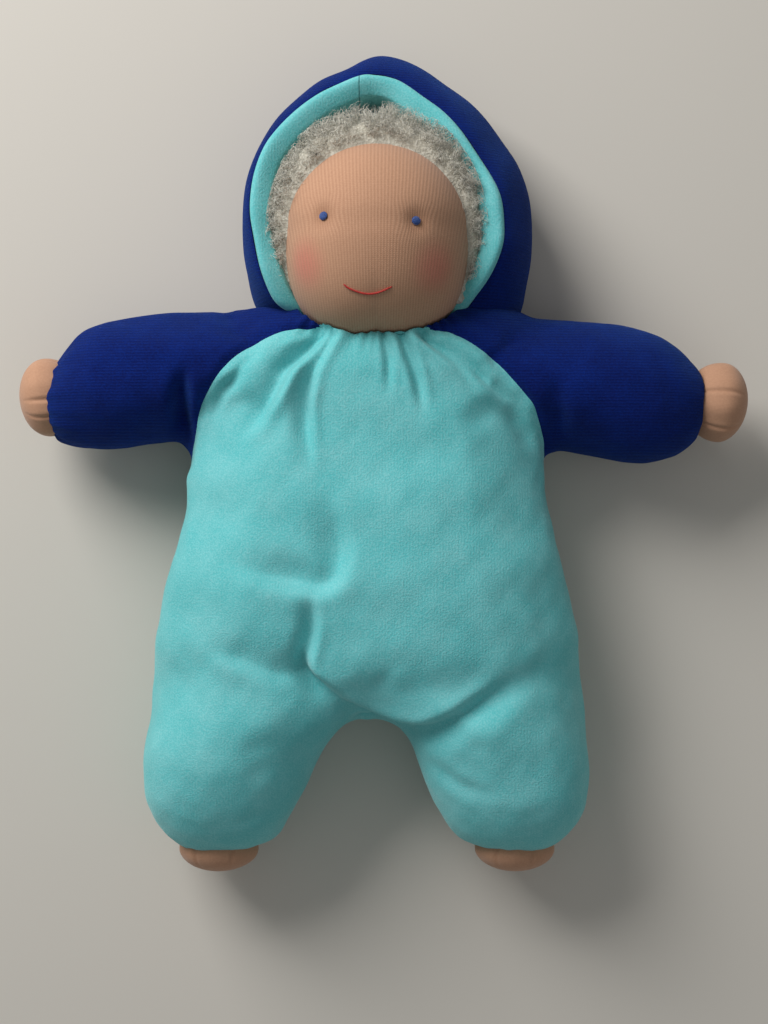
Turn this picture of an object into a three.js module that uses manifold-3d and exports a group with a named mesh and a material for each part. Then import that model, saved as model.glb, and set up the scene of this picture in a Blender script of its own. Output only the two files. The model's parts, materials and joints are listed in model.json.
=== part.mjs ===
// A soft cloth doll in a hooded romper suit, lying on its back.
// X runs to the doll's left hand, Y to its crown, Z up from the floor to its face, in millimetres.
import * as THREE from "three";
import { mergeVertices } from "three/addons/utils/BufferGeometryUtils.js";
import Module from "manifold-3d";

const wasm = await Module();
wasm.setup();

// Lengths along the doll, from which every place along Y is worked out
const NECK_TO_HOOD_TIP = 119;
const NECK_TO_HIP = 174;
const HIP_TO_HEM = 48;
const HEM_TO_SOLE = 9;
const NECK_Y = (NECK_TO_HIP + HIP_TO_HEM + HEM_TO_SOLE - NECK_TO_HOOD_TIP) / 2;
const HIP_Y = NECK_Y - NECK_TO_HIP;
const HEM_Y = HIP_Y - HIP_TO_HEM;

// Cloth, thread and the room between pieces
const VELOUR = 1.8;
const LINING = 1.6;
const JERSEY = 1.2;
const GAUZE = 1.2;
const THREAD = 1;
const GAP = 0.3;
const MOVING_GAP = 0.7;
const OVERRUN = 60;

// Trunk
const TRUNK_HALF_WIDTH = 95;
const TRUNK_DEPTH = 76;
const SHOULDER_RISE = 8;
const BACK_FLAT = 0.5;
const SIDE_SEAM_Z = 34;
const TRUNK_FULLNESS = 2.4;
const SHOULDER_Y = NECK_Y + SHOULDER_RISE;
// Each row: place from the shoulder line to the hip, half width, back and front, all as shares
const TRUNK_SHARES = [
  [0, 0.6, 0.2, 0.62],
  [0.02, 0.66, 0.12, 0.75],
  [0.05, 0.71, 0.05, 0.82],
  [0.1, 0.77, 0, 0.86],
  [0.17, 0.81, 0, 0.875],
  [0.24, 0.82, 0, 0.89],
  [0.32, 0.815, 0, 0.905],
  [0.41, 0.815, 0, 0.93],
  [0.52, 0.855, 0, 0.97],
  [0.61, 0.9, 0, 0.99],
  [0.72, 0.95, 0, 1],
  [0.88, 0.985, 0, 0.985],
  [1, 1, 0, 0.93],
];

// Raglan seam, as shares of the trunk's half width and of the way from the shoulder line to the hip
const RAGLAN_SHARES = [
  [0.3, -0.06],
  [0.36, 0.03],
  [0.52, 0.08],
  [0.68, 0.165],
  [0.76, 0.24],
  [0.83, 0.31],
  [0.9, 0.37],
];
const RAGLAN_STEPS = 12;

// Head, neck and wig
const HEAD_RADIUS = 39.6;
const HEAD_ABOVE_NECK = 39;
const NECK_BALL_RADIUS = 12;
const NECK_STUB_RADIUS = 9.5;
const NECK_STUB_LENGTH = 22;
const WIG_SIDE = 8.4;
const WIG_CROWN = 16;
const WIG_BACK = 4.9;
const WIG_LIFT = 4;
const WIG_TO_HOOD = 1.3;
const FOREHEAD_HAIR_RISE = 17;
const NAPE_HAIR_RISE = 2;
const NAPE_DROP = 28.5;
const FACE_TURN = THREE.MathUtils.degToRad(-5);

// Face, as seen straight from the front
const EYE_SPACING = 37.5;
const EYE_HEIGHT = 3.1;
const EYE_RADIUS = 1.9;
const EYE_RAISED = 0.8;
const MOUTH_WIDTH = 20;
const MOUTH_DROP = 25;
const MOUTH_SAG = 2.8;
const MOUTH_THREAD_RADIUS = 0.5;

// Hood
const HOOD_HALF_WIDTH = 62;
const HOOD_SIDE_RIM = 60;
const HOOD_TIP_RIM = 48;
const HOOD_MIDDLE_SHARE = 0.35;
// Half outline of the hood seen from the front: half width and height above the neckline, as shares
const HOOD_OUTLINE_SHARES = [
  [0.55, -0.25],
  [0.88, -0.12],
  [0.94, 0.06],
  [1, 0.3],
  [0.975, 0.5],
  [0.88, 0.66],
  [0.72, 0.785],
  [0.5, 0.885],
  [0.26, 0.955],
];
// Each row: height as a share of the rim, and how wide the outline is there, as a share
const HOOD_LEVEL_SHARES = [
  [0, 0.8],
  [0.06, 0.87],
  [0.22, 0.96],
  [0.5, 1],
  [0.78, 0.985],
  [1, 0.945],
];

// Arms, along their own axis from the shoulder to the cuff
const SHOULDER_X = 74;
const SHOULDER_BELOW_NECK = 22;
const ARM_RADIUS = 28.6;
const SLEEVE_LENGTH = 70;
const ARM_DROOP = THREE.MathUtils.degToRad(5);
const SHOULDER_BALL_RADIUS = 12;
const SLEEVE_HEAD_HOLE = 14;
const WOOL_MOUTH_RADIUS = 9;
const ARM_CLEAR_OF_FLOOR = 2;
const SLEEVE_SHARES = [
  [0.3, 1],
  [0.55, 0.99],
  [0.74, 0.9],
  [0.87, 0.73],
  [0.95, 0.55],
  [1, 0.46],
];
const SHOULDER_Y0 = NECK_Y - SHOULDER_BELOW_NECK;
const SHOULDER_Z = ARM_RADIUS + ARM_CLEAR_OF_FLOOR;

// Hands and feet: a ball of jersey stuffed with wool behind a tied neck
const HAND_RADIUS = 17.5;
const HAND_LENGTH = 11.4;
const FOOT_RADIUS = 17;
const END_NECK_LENGTH = 9;
const BULB_WIDEST_SHARE = 0.35;

// Legs, along the doll from the top of the hip round to the hem
const HIP_RADIUS = 33.5;
const HIP_Z = 35;
const LEG_FULLNESS = 2.3;
const HEM_RADIUS = 13;
const HEM_Z = 25;
const HEM_X = 62;
// Each row: place from the hip's top to the hem, inner and outer side, back and front, as shares
const LEG_SHARES = [
  [0, -0.97, 0.972, 1, 1.02],
  [0.2, -0.98, 0.985, 1, 1.02],
  [0.27, -0.4, 0.995, 1, 1.01],
  [0.33, -0.06, 1, 1, 1],
  [0.39, 0.1, 1, 1, 1],
  [0.46, 0.17, 1, 1, 0.99],
  [0.54, 0.215, 1, 1, 0.975],
  [0.67, 0.285, 0.998, 1, 0.92],
  [0.78, 0.34, 0.965, 0.96, 0.79],
  [0.877, 0.42, 0.905, 0.88, 0.58],
  [0.95, 0.485, 0.84, 0.78, 0.3],
];

// How far the joints go, which shapes the hollows that they move in
const NOD_DEGREES = 22;
const NOD_STEPS = 2;
const LEG_FORWARD_DEGREES = 60;
const LEG_BACK_DEGREES = 15;
const ARM_SWING_DEGREES = [-25, 8, 40];
const ARM_FOLD_DEGREES = [-15, 15, 45];

// Fineness of the facets
const TRUNK_SIDES = 24;
const LEG_SIDES = 16;
const LATHE_SIDES = 16;
const HEAD_SIDES = 20;
const HEAD_RINGS = 10;
const END_SIDES = 12;
const SLEEVE_HEAD_STEPS = 4;
const BULB_STEPS = 3;
const THREAD_SIDES = 4;
const THREAD_STEPS = 16;
const HIP_STEPS = 10;
const BALL_SIDES = 10;
const BALL_RINGS = 6;
const ROOM_SIDES = 16;
const ROOM_RINGS = 10;
const MOUTH_STEPS = 8;
const MOUTH_SIDES = 3;

// Places that follow from the sizes above
const HOOD_WALL = VELOUR + GAP + LINING;
const HEAD_Z = HOOD_WALL + WIG_TO_HOOD + WIG_BACK + HEAD_RADIUS;
const HEAD_CENTRE = new THREE.Vector3(0, NECK_Y + HEAD_ABOVE_NECK, HEAD_Z);
const NECK_PIVOT = new THREE.Vector3(0, NECK_Y, HEAD_Z);
const SHOULDER_CENTRE = new THREE.Vector3(SHOULDER_X, SHOULDER_Y0, SHOULDER_Z);

// Finishes, as seen on the doll
const material = (color, roughness) =>
  new THREE.MeshStandardMaterial({ color, roughness, metalness: 0 });
const mintVelour = material("#7fd3cd", 0.9);
const blueVelour = material("#1f348f", 0.9);
const peachJersey = material("#d3a585", 0.85);
const creamWool = material("#e6dcc4", 1);
const whiteGauze = material("#f1ede2", 0.95);
const creamMohair = material("#b9b097", 1);
const blueYarn = material("#3c5fa8", 0.7);
const redYarn = material("#c0291f", 0.7);
const tieThread = material("#ece6d6", 0.7);

// Solids from points and triangles, turned to face out
function solidOf(points, index) {
  const [a, b, c] = [0, 1, 2].map(() => new THREE.Vector3());
  let volume = 0;
  for (let i = 0; i < index.length; i += 3) {
    a.copy(points[index[i]]);
    b.copy(points[index[i + 1]]);
    c.copy(points[index[i + 2]]);
    volume += a.dot(b.cross(c));
  }
  const facing = volume < 0 ? index.toReversed() : index;
  const mesh = new wasm.Mesh({
    numProp: 3,
    vertProperties: new Float32Array(points.flatMap((p) => [p.x, p.y, p.z])),
    triVerts: new Uint32Array(facing),
  });
  return new wasm.Manifold(mesh);
}

function solidFrom(geometry) {
  const bare = geometry.clone();
  bare.deleteAttribute("normal");
  bare.deleteAttribute("uv");
  const merged = mergeVertices(bare);
  const place = merged.getAttribute("position");
  const points = [];
  for (let i = 0; i < place.count; i += 1) {
    points.push(new THREE.Vector3().fromBufferAttribute(place, i));
  }
  return solidOf(points, Array.from(merged.index.array));
}

// Cutting a thin shell can leave a crumb beside it, so the largest body is kept
function largest(solid) {
  const bodies = solid.decompose();
  bodies.sort((first, second) => second.volume() - first.volume());
  return bodies[0];
}

function addMesh(group, name, solid, finish) {
  const made = largest(solid).getMesh();
  const geometry = new THREE.BufferGeometry();
  geometry.setAttribute("position", new THREE.BufferAttribute(made.vertProperties, 3));
  geometry.setIndex(new THREE.BufferAttribute(made.triVerts, 1));
  geometry.computeVertexNormals();
  const mesh = new THREE.Mesh(geometry, finish);
  mesh.name = name;
  group.add(mesh);
}

// The right side is the left one mirrored, with its own names
function addBothSides(parent, left) {
  const right = left.clone();
  right.traverse((item) => {
    item.name = item.name.replace("_left", "_right");
  });
  const mirror = new THREE.Group();
  mirror.scale.x = -1;
  mirror.add(right);
  parent.add(left, mirror);
}

// A closed skin over rings of points that all have the same count
function loft(rings) {
  const count = rings[0].length;
  const last = (rings.length - 1) * count;
  const middle = (ring) =>
    ring.reduce((sum, p) => sum.add(p), new THREE.Vector3()).divideScalar(count);
  const points = [...rings.flat(), middle(rings[0]), middle(rings[rings.length - 1])];
  const index = [];
  for (let i = 0; i < count; i += 1) {
    const j = (i + 1) % count;
    for (let r = 0; r < last; r += count) {
      index.push(r + i, r + j, r + j + count, r + i, r + j + count, r + i + count);
    }
    index.push(points.length - 2, j, i, points.length - 1, last + i, last + j);
  }
  return solidOf(points, index);
}

// One ring across the doll: a full oval from side to side and from back to front
function oval(y, fromX, toX, backZ, frontZ, sides, fullness) {
  const ring = [];
  for (let i = 0; i < sides; i += 1) {
    const angle = (2 * Math.PI * i) / sides;
    const across = Math.sign(Math.cos(angle)) * Math.abs(Math.cos(angle)) ** (2 / fullness);
    const up = Math.sign(Math.sin(angle)) * Math.abs(Math.sin(angle)) ** (2 / fullness);
    const x = (fromX + toX + (toX - fromX) * across) / 2;
    const z = (backZ + frontZ + (frontZ - backZ) * up) / 2;
    ring.push(new THREE.Vector3(x, y, z));
  }
  return ring;
}

function lathe(profile, sides) {
  return new THREE.LatheGeometry(profile.map(([r, y]) => new THREE.Vector2(r, y)), sides);
}

function ballAt(centre, radius, sides, rings) {
  const geometry = new THREE.SphereGeometry(radius, sides, rings);
  return solidFrom(geometry.translate(centre.x, centre.y, centre.z));
}

// Room for a ball to turn in: its flat facets stay clear of the ball as well as its corners do
function roomForBall(centre, radius) {
  const flatness = Math.cos(Math.PI / ROOM_SIDES) * Math.cos(Math.PI / ROOM_RINGS / 2);
  return ballAt(centre, (radius + GAP) / flatness, ROOM_SIDES, ROOM_RINGS);
}

function boxBetween(low, high) {
  const geometry = new THREE.BoxGeometry(high.x - low.x, high.y - low.y, high.z - low.z);
  const middle = low.clone().add(high).divideScalar(2);
  return solidFrom(geometry.translate(middle.x, middle.y, middle.z));
}

const far = TRUNK_HALF_WIDTH + NECK_TO_HIP + OVERRUN;
const corner = (x, y, z) => new THREE.Vector3(x, y, z);
const above = (z) => boxBetween(corner(-far, -far, z), corner(far, far, far));
const below = (z) => boxBetween(corner(-far, -far, -far), corner(far, far, z));
const leftOf = (x) => boxBetween(corner(x, -far, -far), corner(far, far, far));
const headwardOf = (y) => boxBetween(corner(-far, y, -far), corner(far, far, far));

// A wound thread, a ring about the Y axis through a place
function threadRing(radius, thickness, place) {
  const ring = new THREE.TorusGeometry(radius, thickness / 2, THREAD_SIDES, THREAD_STEPS);
  return solidFrom(ring.rotateX(Math.PI / 2).translate(...place));
}

// Trunk, drawn in from its outer face by an inset
function trunk(inset, sides) {
  const top = SHOULDER_Y - inset;
  const rings = TRUNK_SHARES.map(([along, half, back, front]) => {
    const halfX = TRUNK_HALF_WIDTH * half - inset;
    const backZ = TRUNK_DEPTH * back - BACK_FLAT + inset;
    const frontZ = TRUNK_DEPTH * front - inset;
    const y = top + (HIP_Y - top) * along;
    return oval(y, -halfX, halfX, backZ, frontZ, sides, TRUNK_FULLNESS);
  });
  return loft(rings);
}

// Room round the hip's axis: a round top with flat flanks that lean by the leg's travel
function hipRoom(radius, frontLean, backLean, fromX, toX) {
  const outline = new THREE.Shape();
  const first = Math.PI / 2 - frontLean;
  const last = -Math.PI / 2 + backLean;
  const point = (angle, out) => [
    radius * Math.cos(angle) - out * Math.abs(Math.sin(angle)),
    radius * Math.sin(angle) + out * Math.sign(angle) * Math.cos(angle),
  ];
  outline.moveTo(...point(first, far));
  for (let i = 0; i <= HIP_STEPS; i += 1) {
    outline.lineTo(...point(first + ((last - first) * i) / HIP_STEPS, 0));
  }
  outline.lineTo(...point(last, far));
  const geometry = new THREE.ExtrudeGeometry(outline, { depth: toX - fromX, bevelEnabled: false });
  // The outline's own X and Y run along the doll and up, and it is extruded across the doll
  geometry.applyMatrix4(new THREE.Matrix4().makeBasis(corner(0, 1, 0), corner(0, 0, 1), corner(1, 0, 0)));
  return solidFrom(geometry.translate(fromX, HIP_Y, HIP_Z));
}

// Leg bag, drawn in by an inset; it runs on past an open hem
function leg(inset, pastHem) {
  const topY = HIP_Y + HIP_RADIUS;
  const rings = LEG_SHARES.map(([along, inner, outer, back, front]) => {
    const y = topY + (HEM_Y - topY) * along;
    const fromX = TRUNK_HALF_WIDTH * inner + inset;
    const toX = TRUNK_HALF_WIDTH * outer - inset;
    const backZ = HIP_Z - HIP_RADIUS * back + inset;
    const frontZ = HIP_Z + HIP_RADIUS * front - inset;
    return oval(y, fromX, toX, backZ, frontZ, LEG_SIDES, LEG_FULLNESS);
  });
  const round = HEM_RADIUS - inset;
  const hem = [HEM_X - round, HEM_X + round, HEM_Z - round, HEM_Z + round, LEG_SIDES, 2];
  rings.push(oval(HEM_Y, ...hem));
  if (pastHem) rings.push(oval(HEM_Y - OVERRUN, ...hem));
  return loft(rings).intersect(leftOf(GAP / 2 + inset));
}

// Hood, drawn in by an inset; its rim falls from the sides to the tip
function hood(inset, pastRim) {
  const halfWidth = HOOD_HALF_WIDTH - inset;
  const height = NECK_TO_HOOD_TIP - inset;
  const half = HOOD_OUTLINE_SHARES;
  const outline = [...half, [0, 1], ...half.toReversed().map(([x, y]) => [-x, y])];
  const ringAt = (level, wide, lift) =>
    outline.map(([across, along]) => {
      const y = HOOD_MIDDLE_SHARE + (along - HOOD_MIDDLE_SHARE) * (along > 0 ? wide : 1);
      const rim = THREE.MathUtils.lerp(HOOD_SIDE_RIM, HOOD_TIP_RIM, Math.max(along, 0) ** 2);
      return corner(halfWidth * across * wide, NECK_Y + height * y, inset + (rim - inset) * level + lift);
    });
  const rings = HOOD_LEVEL_SHARES.map(([level, wide]) => ringAt(level, wide, 0));
  const [, rimWide] = HOOD_LEVEL_SHARES[HOOD_LEVEL_SHARES.length - 1];
  if (pastRim) rings.push(ringAt(1, rimWide, OVERRUN));
  return loft(rings);
}

// Sleeve round its own Y axis, a ball at the shoulder that runs on to the cuff
function sleeve(inset, length, past) {
  const radius = ARM_RADIUS - inset;
  const profile = [];
  for (let i = SLEEVE_HEAD_STEPS; i >= 0; i -= 1) {
    const angle = (Math.PI / 2) * (i / SLEEVE_HEAD_STEPS);
    profile.push([i < SLEEVE_HEAD_STEPS ? radius * Math.cos(angle) : 0, -radius * Math.sin(angle)]);
  }
  for (const [along, wide] of SLEEVE_SHARES) {
    profile.push([ARM_RADIUS * wide - inset, SLEEVE_LENGTH * along]);
  }
  const cuff = profile[profile.length - 1][0];
  if (past) profile.push([cuff, SLEEVE_LENGTH + past]);
  profile.push([0, SLEEVE_LENGTH + past]);
  const whole = solidFrom(lathe(profile, LATHE_SIDES));
  return whole.subtract(headwardOf(length));
}

// Hand or foot round its own Y axis, its neck below zero and its ball above
function bulb(radius, length, neckRadius, neckLength, sides) {
  const widest = length * BULB_WIDEST_SHARE;
  const start = Math.acos(neckRadius / radius);
  const profile = [
    [0, -neckLength],
    [neckRadius, -neckLength],
  ];
  for (let i = 0; i <= BULB_STEPS; i += 1) {
    const angle = start * (1 - i / BULB_STEPS);
    profile.push([radius * Math.cos(angle), widest * (1 - Math.sin(angle) / Math.sin(start))]);
  }
  for (let i = 1; i <= BULB_STEPS; i += 1) {
    const angle = (Math.PI / 2) * (i / BULB_STEPS);
    const r = i < BULB_STEPS ? radius * Math.cos(angle) : 0;
    profile.push([r, widest + (length - widest) * Math.sin(angle)]);
  }
  return solidFrom(lathe(profile, sides));
}

// Skin, wool, tie and gathering thread of one hand or foot, measured from the edge of its opening
const END_START = THREAD + 2 * GAP;
function addEnd(opening, limb, edge, radius, length, openRadius) {
  const group = new THREE.Group();
  group.position.y = END_START;
  opening.add(group);
  const neck = openRadius - THREAD - 2 * GAP;
  const inner = neck - JERSEY;
  const wool = inner - GAP;
  const skin = bulb(radius, length, neck, END_NECK_LENGTH, END_SIDES);
  const hollow = bulb(radius - JERSEY, length - JERSEY, inner, END_NECK_LENGTH + OVERRUN, END_SIDES);
  const room = JERSEY + GAP;
  const filling = bulb(radius - room, length - room, wool, END_NECK_LENGTH, END_SIDES);
  addMesh(group, `${limb}_skin_left`, skin.subtract(hollow), peachJersey);
  addMesh(group, `${limb}_stuffing_left`, filling, creamWool);
  const tie = threadRing(neck + GAP + THREAD / 2, THREAD, [0, -END_NECK_LENGTH / 2, 0]);
  addMesh(group, `${limb}_tie_left`, tie, tieThread);
  const gathering = threadRing(openRadius + VELOUR / 2, THREAD, [0, GAP + THREAD / 2, 0]);
  addMesh(opening, `${edge}_thread_left`, gathering, tieThread);
}

// Everything that moves near the trunk, as the room that it needs there
const nodRooms = [];
for (let i = 0; i <= NOD_STEPS; i += 1) {
  const nod = THREE.MathUtils.degToRad((NOD_DEGREES * i) / NOD_STEPS);
  const centre = HEAD_CENTRE.clone().sub(NECK_PIVOT).applyAxisAngle(corner(1, 0, 0), nod).add(NECK_PIVOT);
  nodRooms.push(roomForBall(centre, HEAD_RADIUS));
}
const neckRoom = roomForBall(NECK_PIVOT, NECK_BALL_RADIUS);

function armRooms() {
  const radius = (ARM_RADIUS + GAP) / Math.cos(Math.PI / ROOM_SIDES);
  const rooms = [];
  for (const swing of ARM_SWING_DEGREES) {
    for (const fold of ARM_FOLD_DEGREES) {
      const bar = new THREE.CylinderGeometry(radius, radius, SLEEVE_LENGTH, ROOM_SIDES);
      bar.translate(0, SLEEVE_LENGTH / 2, 0).rotateZ(-Math.PI / 2 - ARM_DROOP);
      bar.rotateY(THREE.MathUtils.degToRad(-fold)).rotateZ(THREE.MathUtils.degToRad(swing));
      bar.translate(SHOULDER_X, SHOULDER_Y0, SHOULDER_Z);
      rooms.push(solidFrom(bar), solidFrom(bar.scale(-1, 1, 1)));
    }
  }
  for (const side of [-1, 1]) {
    const centre = SHOULDER_CENTRE.clone().multiply(corner(side, 1, 1));
    rooms.push(roomForBall(centre, ARM_RADIUS));
  }
  return rooms;
}

const hipLeans = [LEG_FORWARD_DEGREES, LEG_BACK_DEGREES].map(THREE.MathUtils.degToRad);
const legRoom = hipRoom(HIP_RADIUS + GAP, ...hipLeans, -far, far);

const jointRooms = [legRoom, neckRoom, ...nodRooms, ...armRooms()];
const clearedForJoints = (solid) => jointRooms.reduce((left, room) => left.subtract(room), solid);

// The mint panels' outline seen from the front, grown sideways by a gap
function panelOutline(extra) {
  const place = ([half, along]) =>
    new THREE.Vector2(TRUNK_HALF_WIDTH * half + extra, SHOULDER_Y + (HIP_Y - SHOULDER_Y) * along);
  const seam = new THREE.SplineCurve(RAGLAN_SHARES.map(place)).getPoints(RAGLAN_STEPS);
  const end = seam[seam.length - 1];
  const points = [...seam, new THREE.Vector2(far, end.y), new THREE.Vector2(far, -far)];
  const mirrored = points.map((p) => new THREE.Vector2(-p.x, p.y)).reverse();
  const shape = new THREE.Shape([...points, ...mirrored]);
  const geometry = new THREE.ExtrudeGeometry(shape, { depth: 2 * far, bevelEnabled: false });
  return solidFrom(geometry.translate(0, 0, -far));
}

const doll = new THREE.Group();

// Trunk: wool, mint panels and the blue raglan shoulders
const neckThreadRadius = NECK_BALL_RADIUS + THREAD + 2 * GAP;
const halfNod = THREE.MathUtils.degToRad(NOD_DEGREES / 2);
const clearOfHead = HEAD_RADIUS + MOVING_GAP + THREAD / 2;
const neckThreadDrop =
  Math.sqrt(clearOfHead ** 2 - (neckThreadRadius - HEAD_ABOVE_NECK * Math.sin(halfNod)) ** 2) -
  HEAD_ABOVE_NECK * Math.cos(halfNod);
function neckThread(thickness) {
  const ring = new THREE.TorusGeometry(neckThreadRadius, thickness / 2, THREAD_SIDES, THREAD_STEPS);
  ring.rotateX(Math.PI / 2).translate(0, -neckThreadDrop, 0).rotateX(halfNod);
  return solidFrom(ring.translate(...NECK_PIVOT));
}
jointRooms.push(neckThread(THREAD + 2 * GAP));
const shell = clearedForJoints(trunk(0, TRUNK_SIDES).subtract(trunk(VELOUR, TRUNK_SIDES))).subtract(below(0));
const torso = new THREE.Group();
addMesh(torso, "trunk_stuffing", clearedForJoints(trunk(VELOUR + GAP, TRUNK_SIDES / 2)), creamWool);
addMesh(torso, "neckline_thread", neckThread(THREAD), tieThread);
const mint = shell.intersect(panelOutline(0));
addMesh(torso, "suit_front_panel", mint.intersect(above(SIDE_SEAM_Z + GAP / 2)), mintVelour);
addMesh(torso, "suit_back_panel", mint.intersect(below(SIDE_SEAM_Z - GAP / 2)), mintVelour);
const raglan = new THREE.Group();
addMesh(raglan, "raglan_shoulder_left", shell.subtract(panelOutline(GAP)).intersect(leftOf(0)), blueVelour);
addBothSides(torso, raglan);

// Neck and head, with the wool ball, the gauze, the eye line tied round it and the jersey skin
function neckStub(grown) {
  const radius = (NECK_STUB_RADIUS + grown) / (grown ? Math.cos(Math.PI / BALL_SIDES) : 1);
  const stub = new THREE.CylinderGeometry(radius, radius, NECK_STUB_LENGTH + grown, BALL_SIDES);
  return solidFrom(stub.translate(0, NECK_Y + (NECK_STUB_LENGTH + grown) / 2, HEAD_Z));
}
const neck = new THREE.Group();
const neckBall = ballAt(NECK_PIVOT, NECK_BALL_RADIUS, BALL_SIDES, BALL_RINGS);
addMesh(neck, "neck_stuffing", neckBall.add(neckStub(0)), creamWool);

const head = new THREE.Group();
const headBall = (radius) => ballAt(HEAD_CENTRE, radius, HEAD_SIDES, HEAD_RINGS);
const gauzeRadius = HEAD_RADIUS - JERSEY - GAP;
const woolRadius = gauzeRadius - GAUZE - GAP;
const neckHoleRoom = neckRoom.add(neckStub(GAP));
const holeRadius = NECK_BALL_RADIUS + MOVING_GAP;
const neckHole = new THREE.CylinderGeometry(holeRadius, holeRadius, HEAD_RADIUS, BALL_SIDES);
const neckHoleCut = solidFrom(neckHole.translate(0, NECK_Y, HEAD_Z));
addMesh(head, "head_wool_ball", headBall(woolRadius).subtract(neckHoleRoom), creamWool);
const eyeLineRoom = Math.sqrt(gauzeRadius ** 2 - EYE_HEIGHT ** 2) * Math.cos(Math.PI / HEAD_SIDES);
const eyeLineRadius = eyeLineRoom - THREAD / 4;
const eyeLineAt = [0, HEAD_CENTRE.y + EYE_HEIGHT, HEAD_Z];
const eyeLineGroove = threadRing(eyeLineRadius, THREAD / 2 + 2 * GAP, eyeLineAt);
const gauze = headBall(gauzeRadius).subtract(headBall(gauzeRadius - GAUZE));
addMesh(head, "head_gauze_tube", gauze.subtract(neckHoleCut).subtract(eyeLineGroove), whiteGauze);
addMesh(head, "eye_line_thread", threadRing(eyeLineRadius, THREAD / 2, eyeLineAt), tieThread);
const skin = headBall(HEAD_RADIUS).subtract(headBall(HEAD_RADIUS - JERSEY));
addMesh(head, "head_skin", skin.subtract(neckHoleCut), peachJersey);

// Wig: a cap over the back of the head, open to the face and cut off at the nape
const wigRadii = [HEAD_RADIUS + WIG_SIDE, HEAD_RADIUS + WIG_CROWN - WIG_LIFT, HEAD_RADIUS + WIG_BACK];
const cap = new THREE.SphereGeometry(1, HEAD_SIDES, HEAD_RINGS).scale(...wigRadii);
cap.translate(0, HEAD_CENTRE.y + WIG_LIFT, HEAD_Z);
const hairSlope = Math.atan2(FOREHEAD_HAIR_RISE - NAPE_HAIR_RISE, HEAD_RADIUS + NAPE_DROP);
const inFront = new THREE.BoxGeometry(2 * far, 2 * far, 2 * far).translate(0, 0, far).rotateX(hairSlope);
inFront.translate(0, HEAD_CENTRE.y - NAPE_DROP, HEAD_Z + NAPE_HAIR_RISE);
const wig = solidFrom(cap)
  .subtract(headBall(HEAD_RADIUS + GAP))
  .subtract(solidFrom(inFront))
  .intersect(headwardOf(HEAD_CENTRE.y - NAPE_DROP));
addMesh(head, "wig", wig, creamMohair);

// Face: each eye a raised dot, the mouth one stitched thread, both shaped to the skin under them
const face = new THREE.Group();
face.position.copy(HEAD_CENTRE);
face.rotation.y = FACE_TURN;
function onSkin(solid) {
  const under = new THREE.SphereGeometry(HEAD_RADIUS + GAP, HEAD_SIDES, HEAD_RINGS);
  return solid.subtract(solidFrom(under.rotateY(-FACE_TURN)));
}
const eyeDepth = Math.sqrt(HEAD_RADIUS ** 2 - (EYE_SPACING / 2) ** 2 - EYE_HEIGHT ** 2);
const eyeAt = corner(EYE_SPACING / 2, EYE_HEIGHT, eyeDepth);
for (const [name, side] of [["eye_left", 1], ["eye_right", -1]]) {
  const dot = new THREE.SphereGeometry(EYE_RADIUS, BALL_SIDES, BALL_RINGS);
  dot.scale(1, 1, EYE_RAISED / EYE_RADIUS).lookAt(eyeAt).translate(...eyeAt);
  addMesh(face, name, onSkin(solidFrom(dot.scale(side, 1, 1))), blueYarn);
}

const mouthRadius = HEAD_RADIUS + MOUTH_THREAD_RADIUS / 2;
const mouthPoints = [-1, -0.5, 0, 0.5, 1].map((share) => {
  const x = (MOUTH_WIDTH / 2) * share;
  const y = -MOUTH_DROP - MOUTH_SAG * (1 - share ** 2);
  return corner(x, y, Math.sqrt(mouthRadius ** 2 - x ** 2 - y ** 2));
});
const stitch = new THREE.Shape().absarc(0, 0, MOUTH_THREAD_RADIUS, 0, 2 * Math.PI, false);
const mouth = new THREE.ExtrudeGeometry(stitch, {
  steps: MOUTH_STEPS,
  curveSegments: MOUTH_SIDES,
  extrudePath: new THREE.CatmullRomCurve3(mouthPoints),
});
addMesh(face, "mouth_stitch", onSkin(solidFrom(mouth)), redYarn);
head.add(face);

// Hood: velour outside and lining inside, each of two halves with a seam down the middle
const hoodGroup = new THREE.Group();
const hoodHalf = new THREE.Group();
const hoodRoom = trunk(-GAP, TRUNK_SIDES)
  .add(solidFrom(new THREE.BoxGeometry(2 * far, far, 2 * far).translate(0, NECK_Y - far / 2 + GAP, 0)));
const cutHood = (layer) => layer.subtract(hoodRoom).intersect(leftOf(GAP / 2));
addMesh(hoodHalf, "hood_outer_left", cutHood(hood(0, false).subtract(hood(VELOUR, true))), blueVelour);
const liningOut = VELOUR + GAP;
const liningRim = hood(liningOut, false).subtract(hood(HOOD_WALL, true));
addMesh(hoodHalf, "hood_lining_left", cutHood(liningRim), mintVelour);
addBothSides(hoodGroup, hoodHalf);

// Arm: shoulder wool, sleeve, wool and hand
const armRoot = new THREE.Group();
armRoot.position.copy(SHOULDER_CENTRE);
armRoot.rotation.z = -Math.PI / 2 - ARM_DROOP;
const origin = corner(0, 0, 0);
const shoulderBall = (radius) => ballAt(origin, radius, BALL_SIDES, BALL_RINGS);
addMesh(armRoot, "shoulder_stuffing_left", shoulderBall(SHOULDER_BALL_RADIUS), creamWool);
function headHole(radius) {
  const hole = new THREE.CylinderGeometry(radius, radius, OVERRUN, LATHE_SIDES);
  return solidFrom(hole.translate(0, -OVERRUN / 2, 0));
}
const cuffRadius = ARM_RADIUS * SLEEVE_SHARES[SLEEVE_SHARES.length - 1][1];
const sleeveCloth = sleeve(0, SLEEVE_LENGTH, 0)
  .subtract(sleeve(VELOUR, far, OVERRUN))
  .subtract(headHole(SLEEVE_HEAD_HOLE));
addMesh(armRoot, "sleeve_left", sleeveCloth, blueVelour);
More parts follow.
